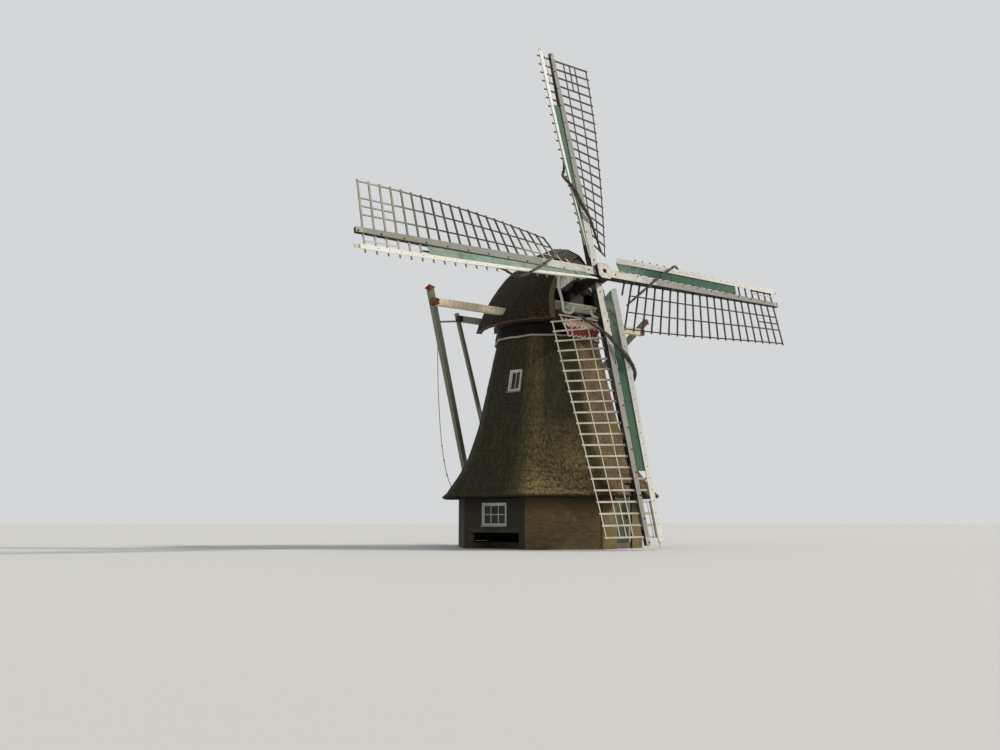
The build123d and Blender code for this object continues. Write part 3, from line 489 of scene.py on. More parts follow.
def forged_iron(name):
    """Hammered wrought iron, tarred black and rusting where the tar has gone."""
    material, add = finish(name)
    place = add("TexCoord", take="Object")
    rust = patches(add, place, 22.0, 0.48, 0.6)
    colour = add("Mix RGBA", rust, "#242322", "#6b3b25")
    # Hammer marks about 25 mm across
    marks = add("TexVoronoi", place, 40.0)
    surface(add, colour, add("MapRange", rust, 0, 1, 0.45, 0.85), marks, 0.3, 0.003, Metallic=0.6)
    return material


def window_pane(name):
    """Old drawn glass, near-black as painted shade of the room behind, slightly wavy, with a film of dust."""
    material, add = finish(name)
    place = add("TexCoord", take="Object")
    # Near-black: painted shade of the dark room behind the glass, with dust in patches
    colour = add("Mix RGBA", patches(add, place, 5.0, 0.45, 0.8), "#15191a", "#30332d")
    surface(add, colour, 0.09, add("TexNoise", place, 7.0, 1.0), 0.15, 0.01,
            Transmission_Weight=0.3, IOR=1.52, Specular_IOR_Level=0.2)
    return material


def tanned_canvas(name):
    """Flax canvas tanned with bark: brown-black, stiff and dull, in a plain weave."""
    material, add = finish(name)
    cloth = add("UVMap", uv_map="cloth")
    # Threads are 1 mm apart and drawn 16 mm apart so that the weave shows
    warp, weft = (add("TexWave", cloth, 20.0, bands_direction=way, take=1) for way in "XY")
    weave = add("Math MULTIPLY", warp, weft)
    creases = add("TexNoise", add("VectorMath MULTIPLY", cloth, (3.0, 1.2, 1.0)), 4.0, 6.0, 0.6)
    # Darker in the hollows of the creases and paler on their ridges: painted shade and light, over the tan's
    # own unevenness
    colour = add("ValToRGB", creases, stops=[(0.3, "#2b241c"), (0.5, "#4d4336"), (0.7, "#7d705c")])
    colour = darkened(add, colour, 0.35, weave, (0.0, 0.55), (0.8, 1.0))
    surface(add, colour, 0.94, add("Math MULTIPLY_ADD", creases, 3.0, weave), 0.6, 0.008, Sheen_Weight=0.25)
    return material


def laid_rope(name, pale, dark):
    """Three-strand hemp rope, grey from weather, with loose fibres across the strands."""
    material, add = finish(name)
    place = add("TexCoord", take="Object")
    fibres = add("TexNoise", place, 260.0, 3.0)
    colour = add("Mix RGBA", patches(add, place, 3.0, 0.4, 0.65), pale, dark)
    colour = darkened(add, colour, 0.5, fibres, (0.3, 0.45), (0.65, 1.0))
    surface(add, colour, 0.95, fibres, 0.5, 0.002)
    return material


def chosen(name):
    """A paint's colour from the sidebar, as a shader takes it."""
    return (*getattr(bpy.context.scene.mill_paints, name), 1.0)


def dress(material, *names):
    """Gives frame nodes a finish."""
    for name in names:
        piece = nodes[name]
        if not piece.material_slots:
            piece.data.materials.append(material)
        for place in piece.material_slots:
            place.material = material
    return material


# Modelling

def pick(piece):
    """Leaves one piece selected and active."""
    bpy.ops.object.select_all(action="DESELECT")
    piece.select_set(True)
    bpy.context.view_layer.objects.active = piece


def settle(piece):
    """Puts a piece's place into its mesh."""
    pick(piece)
    bpy.ops.object.transform_apply(location=True, rotation=True, scale=True)
    return piece


def start(primitive, **settings):
    """A primitive at its size and place, from which a piece is shaped."""
    bpy.ops.object.select_all(action="DESELECT")
    primitive(**settings)
    return settle(bpy.context.object)


def shaped(piece, tool, **settings):
    """A piece after a tool of edit mode has worked on all of it."""
    pick(piece)
    bpy.ops.object.mode_set(mode="EDIT")
    bpy.ops.mesh.select_all(action="SELECT")
    tool(**settings)
    bpy.ops.object.mode_set(mode="OBJECT")
    return piece


def eased(piece, width, segments=1):
    """A piece with its edges bevelled."""
    return shaped(piece, bpy.ops.mesh.bevel, offset=width, segments=segments, affect="EDGES")


def modified(piece, kind, **settings):
    """A piece after a modifier has been applied to it."""
    pick(piece)
    modifier = piece.modifiers.new(kind.title(), kind)
    for name, value in settings.items():
        setattr(modifier, name, value)
    bpy.ops.object.modifier_apply(modifier=modifier.name)
    return piece


def opened(piece, goes):
    """A piece without the faces that a test picks."""
    shaped(piece, bpy.ops.mesh.select_all, action="DESELECT")
    for face in piece.data.polygons:
        face.select = goes(face)
    bpy.ops.object.mode_set(mode="EDIT")
    bpy.ops.mesh.select_mode(type="FACE")
    bpy.ops.mesh.delete(type="FACE")
    bpy.ops.object.mode_set(mode="OBJECT")
    return piece


def block(low, high, edge=0.004):
    """A sawn block between two corners, with its edges eased."""
    middle = [(a + b) / 2 for a, b in zip(low, high)]
    size = [b - a for a, b in zip(low, high)]
    piece = start(bpy.ops.mesh.primitive_cube_add, size=1, location=middle, scale=size)
    return eased(piece, edge, 2) if edge else piece


def bolt_head(radius, height):
    """A forged bolt on its washer, pointing up from the origin, with its top edge eased."""
    washer, head = (start(bpy.ops.mesh.primitive_cylinder_add, vertices=sides, radius=radius * wide,
                          depth=height * deep, location=(0, 0, height * middle))
                    for sides, wide, deep, middle in ((12, 1.6, 0.3, 0.15), (6, 1.0, 0.7, 0.65)))
    return join([eased(head, radius * 0.18), washer])


def ring(radius, thickness, turns=24, sides=8):
    """A ring of round iron or cord that lies flat round the origin."""
    return start(bpy.ops.mesh.primitive_torus_add, major_radius=radius, minor_radius=thickness / 2,
                 major_segments=turns, minor_segments=sides)


def sleeve(width, length, thickness):
    """A flat iron strap bent round a square timber, with its ends closed."""
    piece = start(bpy.ops.mesh.primitive_cube_add, size=1, scale=(width, width, length))
    opened(piece, lambda face: abs(face.normal.z) > 0.9)
    return modified(piece, "SOLIDIFY", thickness=thickness, offset=1.0)


def free_copy(source):
    """A merged copy of a frame node's mesh, free of the frame."""
    copy = placed("copy", nodes[source].data.copy())
    shaped(copy, bpy.ops.mesh.remove_doubles, threshold=0.0005)
    bpy.ops.mesh.customdata_custom_splitnormals_clear()
    return copy


def curb_wall(low, high, grow_low, grow_high, thickness, ledge=False, cuts=0):
    """A thin wall round the top of the reed, on the outline of the curb's trim."""
    bottom, top = (corner[2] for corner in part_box("curb_trim"))

    def goes(face):
        outer = face.center.xy.length > trim_inner_reach and abs(face.normal.z) < 0.5
        return not (outer or (ledge and face.normal.z > 0.5))

    wall = opened(free_copy("curb_trim"), goes)
    if cuts:
        shaped(wall, bpy.ops.mesh.subdivide, number_cuts=cuts)
    for vertex in wall.data.vertices:
        share = (vertex.co.z - bottom) / (top - bottom)
        outside = vertex.co.xy.length > trim_inner_reach
        grow = grow_low + (grow_high - grow_low) * share if outside else trim_inner_grow
        vertex.co = (vertex.co.x * grow, vertex.co.y * grow, low + (high - low) * share)
    return modified(wall, "SOLIDIFY", thickness=thickness)


def join(pieces):
    """Several pieces as one."""
    bpy.ops.object.select_all(action="DESELECT")
    for piece in pieces:
        piece.select_set(True)
    bpy.context.view_layer.objects.active = pieces[0]
    if len(pieces) > 1:
        bpy.ops.object.join()
    return settle(bpy.context.object)


def face_outward(piece):
    """Turns every face of a piece outward."""
    return shaped(piece, bpy.ops.mesh.normals_make_consistent, inside=False)


def placed(name, data):
    """A new object in the scene."""
    piece = bpy.data.objects.new(name, data)
    bpy.context.collection.objects.link(piece)
    return piece


def copies(piece, places):
    """A copy of a piece at each place, each with its own mesh, joined as one."""
    made = []
    for place in places:
        copy = placed("copy", piece.data.copy())
        copy.matrix_world = place
        made.append(copy)
    bpy.data.objects.remove(piece)
    return join(made)


def both_sides(piece):
    """A piece of the cap's right side, and its mirror image on the left."""
    return face_outward(copies(piece, [Matrix.Identity(4), Matrix.Scale(-1, 4, (1, 0, 0))]))


def moved(piece, place):
    """A piece taken to a place."""
    piece.matrix_world = place
    return settle(piece)


def complete(piece, name, material, body, smooth=40):
    """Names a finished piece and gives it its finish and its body."""
    piece.name = piece.data.name = name
    piece.data.materials.clear()
    piece.data.materials.append(material)
    pick(piece)
    bpy.ops.object.shade_smooth_by_angle(angle=math.radians(smooth))
    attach(piece, body)
    return piece


def shift(x, y, z):
    """A place moved from the origin."""
    return Matrix.Translation((x, y, z))


def turned(degrees, axis):
    """A place turned at the origin."""
    return Matrix.Rotation(math.radians(degrees), 4, axis)


def face_place(index, outward, height):
    """A place on one face of the tower: X along the face, -Y outward, Z up."""
    return Matrix.Rotation(door_turn + index * side_angle, 4, "Z") @ shift(0, -outward, height)


def arm_place(arm):
    """The place of one arm, modelled pointing up, on the tilted axis of the sails."""
    layer = stock_spacing / 2 * (-1 if arm % 2 else 1)
    turn = rest_turn + math.radians(90 * arm)
    axis = shift(*hub) @ Matrix.Rotation(-shaft_tilt, 4, "X")
    return axis @ Matrix.Rotation(turn, 4, "Y") @ shift(0, layer, 0)


def on_arms(piece, name, material, arms=4):
    """A piece of one sail, copied to the others and finished."""
    return complete(copies(piece, [arm_place(arm) for arm in range(arms)]), name, material, "sails")


def weather(along):
    """The sail's twist at a distance from the hub."""
    share = (last_bar - along) / (last_bar - first_bar)
    return weather_root * max(share, 0.0) ** weather_power


def twisted(along):
    """A place at the stock's middle, turned as the sail is at a distance from the hub."""
    return Matrix.Rotation(weather(along), 4, "Z")


def stock_size(along):
    """The stock's width and depth at a distance from the hub."""
    share = max(0.0, along - stock_straight) / (stock_reach - stock_straight)
    return 0.29 - 0.12 * share, 0.26 - 0.13 * share


def bar_places():
    """Distances of the bars from the hub."""
    step = (last_bar - first_bar) / (bar_count - 1)
    return [first_bar + step * index for index in range(bar_count)]


def round_point(angle, radius):
    """A point on a circle round Z."""
    return Vector((math.cos(angle), math.sin(angle), 0)) * radius


def spline_points(points):
    """Points read from the smooth line through a route's control points."""
    data = bpy.data.curves.new("line", "CURVE")
    data.dimensions = "3D"
    data.resolution_u = 16
    spline = data.splines.new("NURBS")
    spline.points.add(len(points) - 1)
    for control, point in zip(spline.points, points):
        control.co = (*point, 1.0)
    spline.order_u = 3
    spline.use_endpoint_u = True
    line = placed("line", data)
    mesh = bpy.data.meshes.new_from_object(line)
    read = [vertex.co.copy() for vertex in mesh.vertices]
    bpy.data.objects.remove(line)
    bpy.data.meshes.remove(mesh)
    bpy.data.curves.remove(data)
    return read


def even_points(points, step):
    """The same line with points an even step apart."""
    lengths = [0.0]
    for a, b in zip(points, points[1:]):
        lengths.append(lengths[-1] + (b - a).length)
    count = max(2, round(lengths[-1] / step))
    even = []
    index = 0
    for number in range(count + 1):
        goal = lengths[-1] * number / count
        while index < len(points) - 2 and lengths[index + 1] < goal:
            index += 1
        run = lengths[index + 1] - lengths[index]
        share = (goal - lengths[index]) / run if run else 0.0
        even.append(points[index].lerp(points[index + 1], min(share, 1.0)))
    return even


def heading(points, index):
    """The way in which a line runs at one of its points."""
    return (points[min(index + 1, len(points) - 1)] - points[max(index - 1, 0)]).normalized()


def line_frames(points):
    """A frame at each point of a line, with Z along it and no twist between neighbours."""
    frames = []
    side = heading(points, 0).orthogonal()
    for index, point in enumerate(points):
        run = heading(points, index)
        side = (side - run * side.dot(run)).normalized()
        turn = Matrix((side, run.cross(side), run)).transposed().to_4x4()
        frames.append(Matrix.Translation(point) @ turn)
    return frames


def woven(sections, uvs=None, closed=False):
    """A mesh from rows of points, as a lofted sheet or, when closed, as a tube."""
    count = len(sections[0])
    faces = []
    for row in range(len(sections) - 1):
        for column in range(count if closed else count - 1):
            after = (column + 1) % count
            faces.append((row * count + column, row * count + after,
                          (row + 1) * count + after, (row + 1) * count + column))
    if closed:
        faces.append(tuple(reversed(range(count))))
        faces.append(tuple(range((len(sections) - 1) * count, len(sections) * count)))
    mesh = bpy.data.meshes.new("woven")
    mesh.from_pydata([point for row in sections for point in row], [], faces)
    if uvs:
        layer = mesh.uv_layers.new(name="cloth")
        for loop in mesh.loops:
            layer.data[loop.index].uv = uvs[loop.vertex_index]
    mesh.update()
    return placed("woven", mesh)


# Sizes and colours that a user would change

def colour_setting(name, description, colour):
    """A colour in the sidebar."""
    return bpy.props.FloatVectorProperty(name=name, description=description, subtype="COLOR",
                                         default=linear(colour)[:3], min=0, max=1)


def length_setting(name, description, default, low, high):
    """A length in the sidebar."""
    return bpy.props.FloatProperty(name=name, description=description, subtype="DISTANCE", unit="LENGTH",
                                   default=default, min=low, max=high)


class MillPaints(bpy.types.PropertyGroup):
    """Paint colours of the timber."""

    cream: colour_setting("Cream", "Paint of the sail bars and laths", "#d8d1bb")
    white: colour_setting("White", "Paint of the window frames, door frames and leading edges", "#dcdbd1")
    sage: colour_setting("Sage", "Paint of the tail pole and its braces", "#92977f")
    red: colour_setting("Red", "Paint of the caps on the braces", "#8c392c")


class MillReed(bpy.types.PropertyGroup):
    """The thatch."""

    grid: length_setting("Grid", "Size of the faces on the tower's thatch", 0.06, 0.04, 0.2)
    cap_grid: length_setting("Cap grid", "Size of the faces on the cap's thatch", 0.045, 0.03, 0.2)
    hollows: length_setting("Hollows", "Depth of the hollows that weather leaves in the reed", 0.035, 0, 0.1)


class MillIron(bpy.types.PropertyGroup):
    """Bolts and straps."""

    bolt_radius: length_setting("Bolt radius", "Half the width of a bolt's head", 0.022, 0.01, 0.06)
    bolt_height: length_setting("Bolt height", "How far a bolt and its washer stand out", 0.022, 0.01, 0.06)
    strap_thickness: length_setting("Strap thickness", "Thickness of the iron straps", 0.007, 0.003, 0.02)


class MillCloth(bpy.types.PropertyGroup):
    """Sail cloths and the brake rope."""

    cloth_width: length_setting("Cloth width", "Width of a sail cloth before it is rolled", 1.7, 0.5, 2.5)
    roll_radius: length_setting("Roll radius", "Outer radius of a rolled sail cloth", 0.047, 0.03, 0.12)
    rope_diameter: length_setting("Rope diameter", "Diameter of the brake rope", 0.032, 0.01, 0.06)
    rope_length: length_setting("Rope length", "Length of the rope from the lever to the cleat", 7.99, 1, 12)


# Operators

class MillCamera(bpy.types.Operator):
    """Stands a camera low down, in front of the tower's left side"""

    bl_idname = "mill.camera"
    bl_label = "Camera"

    def execute(self, context):
        bpy.ops.object.select_all(action="DESELECT")
        turn = (math.radians(98.51), 0, math.radians(-35.33))
        bpy.ops.object.camera_add(location=(-21.875, -27.871, 0.968), rotation=turn)
        camera = context.object
        camera.name = "Camera"
        camera.data.sensor_fit = "HORIZONTAL"
        camera.data.sensor_width = 36
        camera.data.lens = 34.87
        camera.data.clip_end = 300
        context.scene.camera = camera
        return {"FINISHED"}


class MillBrakeRope(bpy.types.Operator):
    """Lays up the brake rope that hangs from the lever to the cleat, with its hitch and three knots"""

    bl_idname = "mill.brake_rope"
    bl_label = "Brake rope"

    def execute(self, context):
        cloth = context.scene.mill_cloth
        route = [(-0.85, 6.3, 9.187), (-0.852, 6.303, 8.7), (-0.855, 6.302, 8.2), (-0.856, 6.295, 7.7),
                 (-0.855, 6.282, 7.2), (-0.85, 6.264, 6.7), (-0.842, 6.24, 6.2), (-0.83, 6.21, 5.7),
                 (-0.814, 6.176, 5.21), (-0.794, 6.138, 4.73), (-0.77, 6.092, 4.26), (-0.742, 6.034, 3.8),
                 (-0.708, 5.96, 3.35), (-0.665, 5.868, 2.92), (-0.608, 5.752, 2.54), (-0.53, 5.61, 2.24),
                 (-0.43, 5.44, 2.03), (-0.31, 5.29, 1.925), (-0.19, 5.165, 1.88), (-0.09, 5.05, 1.868),
                 (-0.02, 4.954, 1.863)]
        knot_heights = (4.0, 3.4, 2.8)
        step = 0.014
        line = even_points(spline_points(route), step)
        frames = line_frames(line)
        radius = cloth.rope_diameter / 2
        strand = radius * 0.5
        hemp = laid_rope("weathered_hemp_rope", "#8e8470", "#4a4438")
        strands = []
        for number in range(3):
            sections = []
            for index, place in enumerate(frames):
                # One full turn of the lay in seven rope diameters
                turn = 2 * math.pi * (number / 3 + index * step / (7 * cloth.rope_diameter))
                centre = round_point(turn, radius - strand)
                sections.append([place @ (centre + round_point(2 * math.pi * corner / 7, strand))
                                 for corner in range(7)])
            strands.append(woven(sections, closed=True))
        rope = complete(join(strands), "brake_rope_strands", hemp, "cap", 60)
        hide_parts("brake_rope")
        knot_places = [frames[min(range(len(line)), key=lambda index: abs(line[index].z - height))]
                       for height in knot_heights]
        loops = [moved(ring(radius * 1.35, radius * 1.5, 18, 8), shift(0, 0, lift) @ turned(turn, "X"))
                 for turn, lift in ((22, 0.012), (-25, -0.012), (8, 0.034))]
        knots = complete(copies(join(loops), knot_places), "rope_knots", hemp, "cap", 60)
        # Three turns round the end of the lever, square to it
        hitch = [moved(ring(0.058, cloth.rope_diameter * 0.9, 20, 8),
                       shift(-0.85, 6.3 + number * 0.03, 9.2245 + number * 0.0046) @ turned(98.75, "X"))
                 for number in (-1, 0, 1)]
        hitches = complete(join(hitch), "rope_hitch", hemp, "cap", 60)
        return {"FINISHED"}


class MillFurledSails(bpy.types.Operator):
    """Rolls each sail cloth and lashes it over the stock and along the back of the bars"""

    bl_idname = "mill.furled_sails"
    bl_label = "Furled sails"

    def execute(self, context):
        cloth = context.scene.mill_cloth
        route = [(0.9, 0.33, 1.33), (0.52, 0.09, 1.8), (0.16, -0.205, 2.25), (-0.2, -0.245, 2.75),
                 (-0.505, -0.345, 3.25), (-0.75, -0.285, 3.62), (-0.74, -0.11, 3.9), (-0.48, -0.03, 4.25),
                 (-0.34, 0.02, 4.9), (-0.3, 0.068, 5.9), (-0.26, 0.094, 7.2)]
        canvas = tanned_canvas("bark_tanned_canvas")
        hemp = laid_rope("tarred_hemp_line", "#6f6655", "#37322a")
        line = even_points(spline_points(route), 0.075)
        frames = line_frames(line)
        last = len(frames) - 1
        length = sum((b - a).length for a, b in zip(line, line[1:]))
        outer = cloth.roll_radius
        inner = outer * 0.42
        turns = cloth.cloth_width / (math.pi * (outer + inner))
        count = 96
        bulge_middle, bulge_spread = 2.2, 1.1
        for arm in range(4):
            # On the upright stock the rolls bulge where they cross to the leading side
            bulge = 0.85 if arm % 2 == 0 else 0.12
            swell = [1 + bulge * math.exp(-((length * index / last - bulge_middle) / bulge_spread) ** 2)
                     for index in range(len(frames))]
            places = [shift(0, -0.034 * (more - 1), 0) @ place for more, place in zip(swell, frames)]
            sections = []
            uvs = []
            for index, place in enumerate(places):
                along = length * index / last
                # The roll is drawn in by each tie, slack between them, and thinner at both ends
                near = min(abs(along - tie) for tie in tie_places)
                slack = 0.8 + 0.22 * min(near / 0.3, 1.0) ** 0.7
                root, tip = max(0.0, 1 - along / 0.35), max(0.0, 1 - (length - along) / 0.5)
                slack *= 1.0 - 0.35 * root - 0.45 * tip
                row = []
                for column in range(count):
                    share = column / (count - 1)
                    point = round_point(2 * math.pi * turns * share / swell[index] + along * 0.5, 1)
                    fold = noise.noise(Vector((point.x * 1.3 + arm * 5, point.y * 1.3, along * 2.3)))
                    radius = (inner + (outer - inner) * share) * slack * swell[index]
                    radius *= 1.0 + 0.13 * fold * share
                    row.append(place @ Vector((point.x * radius, point.y * radius * 0.9, 0.02 * fold)))
                    uvs.append((share * cloth.cloth_width, along))
                sections.append(row)
            roll = modified(moved(woven(sections, uvs), arm_place(arm)), "SOLIDIFY", thickness=0.0016)
            complete(roll, "furled_sail_%d" % (arm + 1), canvas, "sails", 60)
            if arm == 0:
                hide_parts("furled_sails")
            spots = []
            for tie in tie_places:
                nearest = min(last, round(tie / length * last))
                stretch = Matrix.Diagonal((swell[nearest], swell[nearest], 1, 1))
                spots.append(arm_place(arm) @ places[nearest] @ stretch)
            # Three turns of line and a knot at each tie
            wraps = [moved(ring(outer * 0.9, 0.013, 20, 6), shift(0, 0, lift) @ turned(lean, "X"))
                     for lift, lean in ((-0.014, 7), (0.0, -5), (0.013, 6))]
            wraps.append(moved(ring(0.014, 0.014, 10, 6), shift(outer * 0.92, 0, 0) @ turned(70, "Y")))
            lashing = copies(join(wraps), spots)
            complete(lashing, "sail_lashings_%d" % (arm + 1), hemp, "sails", 60)
        return {"FINISHED"}


class MillThatch(bpy.types.Operator):
    """Lays the reed on the tower and the cap as two soft, slightly hollowed skins"""

    bl_idname = "mill.thatch"
    bl_label = "Thatch"

    def execute(self, context):
        settings = context.scene.mill_reed
        tower = ["smock_thatch_with_openings", "smock_thatch_plain"]
        cap = ["cap_thatch_%s_%s" % (end, side) for end in ("front", "back") for side in ("right", "left")]
        for names, grid, body in ((tower, settings.grid, "tower"), (cap, settings.cap_grid, "cap")):
            skin = join([free_copy(source) for source in names])
            modified(skin, "REMESH", mode="VOXEL", voxel_size=grid)
            clouds = bpy.data.textures.new("hollows", "CLOUDS")
            clouds.noise_scale = 0.32
            clouds.noise_depth = 3
            modified(skin, "DISPLACE", texture=clouds, texture_coords="GLOBAL", strength=settings.hollows,
                     mid_level=1.0)
            bpy.data.textures.remove(clouds)
            material = reed("weathered_%s_reed" % body, body == "tower")
            complete(skin, body + "_reed_skin", material, body, 55)
            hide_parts(*names)
        return {"FINISHED"}


class MillBase(bpy.types.Operator):
    """Brick walls, floor and the lintel over the water outlet"""

    bl_idname = "mill.base"
    bl_label = "Brick base"

    def execute(self, context):
        dress(old_brick("hand_made_brick_in_lime_with_painted_light"), "base_walls_with_openings", "base_walls_plain")
        dress(old_brick("worn_floor_brick", lying=True), "floor")
        lintel = dress(cut_stone("dressed_outlet_stone", "#4f4a3c", "#2f2b22"), "outlet_lintel")
        # A drip course of the same stone runs over the outlet, proud of the wall
        course = block((-1.12, -0.028, 0.0), (1.12, 0.01, 0.05), 0.008)
        moved(course, face_place(6, wall_face, outlet_top))
        complete(course, "outlet_drip_course", lintel, "tower")
        return {"FINISHED"}


class MillWindows(bpy.types.Operator):
    """Frames, panes, glazing bars and sills"""

    bl_idname = "mill.windows"
    bl_label = "Windows"

    def sides(self, half, width, rail, back, front, top, edge, place):
        """The four bars round a window, with the rails let 8 mm into the uprights."""
        foot = 0.06
        inner = half - width
        corners = [((x, back, foot), (x + width, front, top)) for x in (-half, inner)]
        corners += [((-inner - 0.008, back + 0.0005, z), (inner + 0.008, front - 0.0001, z + rail))
                    for z in (foot, top - rail)]
        return [moved(block(low, high, edge), place) for low, high in corners]

    def execute(self, context):
        paint = timber("white_window_paint", upright, chosen("white"), "#8a8272", "#a5a294", peel=0.66)
        dress(paint, "window_frames")
        dress(window_pane("drawn_window_glass"), "window_glass")
        bars = []
        sills = []
        for index in (2, 6):
            wide = face_place(index, wall_face - 0.03, 0.75)
            small = (face_place(index, upper_window_face, 5.43) @ shift(0.165, 0, 0)
                     @ Matrix.Rotation(-thatch_lean, 4, "X"))
            bars += [moved(block((x - 0.014, 0.012, 0.1), (x + 0.014, 0.0396, 0.69), 0.006), wide)
                     for x in (-0.16, 0.16)]
            bars.append(moved(block((-0.45, 0.012, 0.381), (0.45, 0.0394, 0.409), 0.006), wide))
            bars += self.sides(0.48, 0.038, 0.04, 0.01, 0.0398, 0.73, 0.005, wide)
            bars.append(moved(block((-0.011, 0.05, 0.08), (0.011, 0.0796, 0.7), 0.004), small))
            bars += self.sides(0.2, 0.028, 0.03, 0.048, 0.0798, 0.72, 0.004, small)
            sills.append(moved(block((-0.56, -0.06, -0.012), (0.56, -0.001, 0.03), 0.007), wide))
            # A lead flap sheds water from the small window onto the reed
            sills.append(moved(block((-0.3, -0.05, -0.055), (0.3, 0.09, -0.03), 0.006), small))
        complete(join(bars), "window_bars", paint, "tower")
        sill_paint = timber("weathered_sill_paint", crosswise, "#a9a699", "#6f6a5e", "#7b786c")
        complete(join(sills), "window_sills", sill_paint, "tower")
        return {"FINISHED"}


class MillDoors(bpy.types.Operator):
    """Door frames and leaves, each leaf faced with boards and fitted with plate and ring"""

    bl_idname = "mill.doors"
    bl_label = "Doors"

    def execute(self, context):
        dress(timber("white_door_paint", upright, door_frame_paint, "#8a8272", "#9c998b"), "door_frames")
        leaf_paint = timber("green_door_paint", upright, "#525e49", "#6f6a5a", "#55543f", peel=0.6)
        dress(leaf_paint, "front_door", "back_door")
        iron = forged_iron("door_iron")
        # The leaves stand back from the face of the wall, and each has six upright boards
        leaf_recess = 0.135
        leaf_middle, leaf_half = 0.12, 0.414
        width = leaf_half / 3
        lefts = [leaf_middle - leaf_half + width * number for number in range(6)]
        for index, body in ((0, "front_door"), (4, "back_door")):
            place = face_place(index, wall_face - leaf_recess, 0)
            boards = [block((left + 0.002, -0.012, 0.21), (left + width - 0.002, -0.0006, 1.99), 0.004)
                      for left in lefts]
            boards += [block((-0.28, -0.024, height), (0.52, -0.0115, height + 0.11), 0.005)
                       for height in (0.36, 1.72)]
            complete(moved(join(boards), place), body + "_boards", leaf_paint, body)
            fittings = [block((0.42, -0.018, 1.0), (0.48, -0.0118, 1.18), 0.003),
                        moved(ring(0.042, 0.011, 24, 8), shift(0.45, -0.03, 1.075) @ turned(80, "X")),
                        moved(bolt_head(0.012, 0.018), shift(0.45, -0.0176, 1.118) @ turned(90, "X"))]
            fittings += [moved(bolt_head(0.009, 0.009), shift(x, -0.0236, height) @ turned(90, "X"))
                         for height in (0.415, 1.775) for x in (-0.2, 0.05, 0.3, 0.46)]
            complete(moved(join(fittings), place), body + "_ironwork", iron, body)
        return {"FINISHED"}


class MillFrame(bpy.types.Operator):
    """Posts, the curb with its boards, and the beams on which the cap turns"""

    bl_idname = "mill.timber_frame"
    bl_label = "Timber frame"

    def execute(self, context):
        dress(timber("old_oak_posts", upright, "#5a4b39", "#74644d", "#3c3226"), "corner_posts")
        dress(timber("oak_curb", crosswise, "#5e4f3b", "#74644d", "#3a3025"), "curb_ring", "cap_ring")
        dark = timber("near_black_curb_boards", round_curb, "#12110f", "#35302a", "#1f1c18",
                      peel=0.72, seams=0.115)
        dress(dark, "curb_boarding", "curb_trim")
        dress(timber("oak_sheers", lengthwise, "#6a5c46", "#7d6d55", "#463b2d"), "sheers")
        dress(timber("grey_green_beam_paint", crosswise, weather_beam_paint, "#7a7462", "#6f7464"),
              "weather_beam")
        dress(cut_stone("greased_bearing_stone", "#3a3731", "#1f1d1a"), "shaft_bearings")
        dress(timber("cream_beam_paint", crosswise, beam_paint, "#8a7a5c", "#a2986f", peel=0.64),
              "long_cross_beam")
        dress(timber("grey_beam_paint", crosswise, short_beam_paint, "#7c7666", "#8a8778"),
              "short_cross_beam")
        pale = timber("pale_trim_paint", round_curb, "#b9b4a5", "#7d776a", "#8c877a")
        # Near-black boards cover the top of the reed, with a ledge round the curb
        skirt = curb_wall(7.45, 7.794, 1.022, 1.004, 0.02, ledge=True)
        complete(skirt, "curb_skirt", dark, "tower", 30)
        batten = curb_wall(7.615, 7.65, 1.022, 1.021, 0.02)
        complete(batten, "curb_batten", dark, "tower", 30)
        # The pale trim under them follows the uneven reed, so its edge waves
        trim = curb_wall(7.388, 7.448, 1.034, 1.034, 0.034, cuts=7)
        for vertex in trim.data.vertices:
            angle = math.atan2(vertex.co.y, vertex.co.x)
            wave = math.sin(angle * 60) * 0.5 - 0.5
            vertex.co.x *= 1 + 0.004 * wave
            vertex.co.y *= 1 + 0.004 * wave
            vertex.co.z += 0.007 * wave + 0.008 * math.sin(angle * 14)
        complete(trim, "curb_edge", pale, "tower", 30)
        return {"FINISHED"}


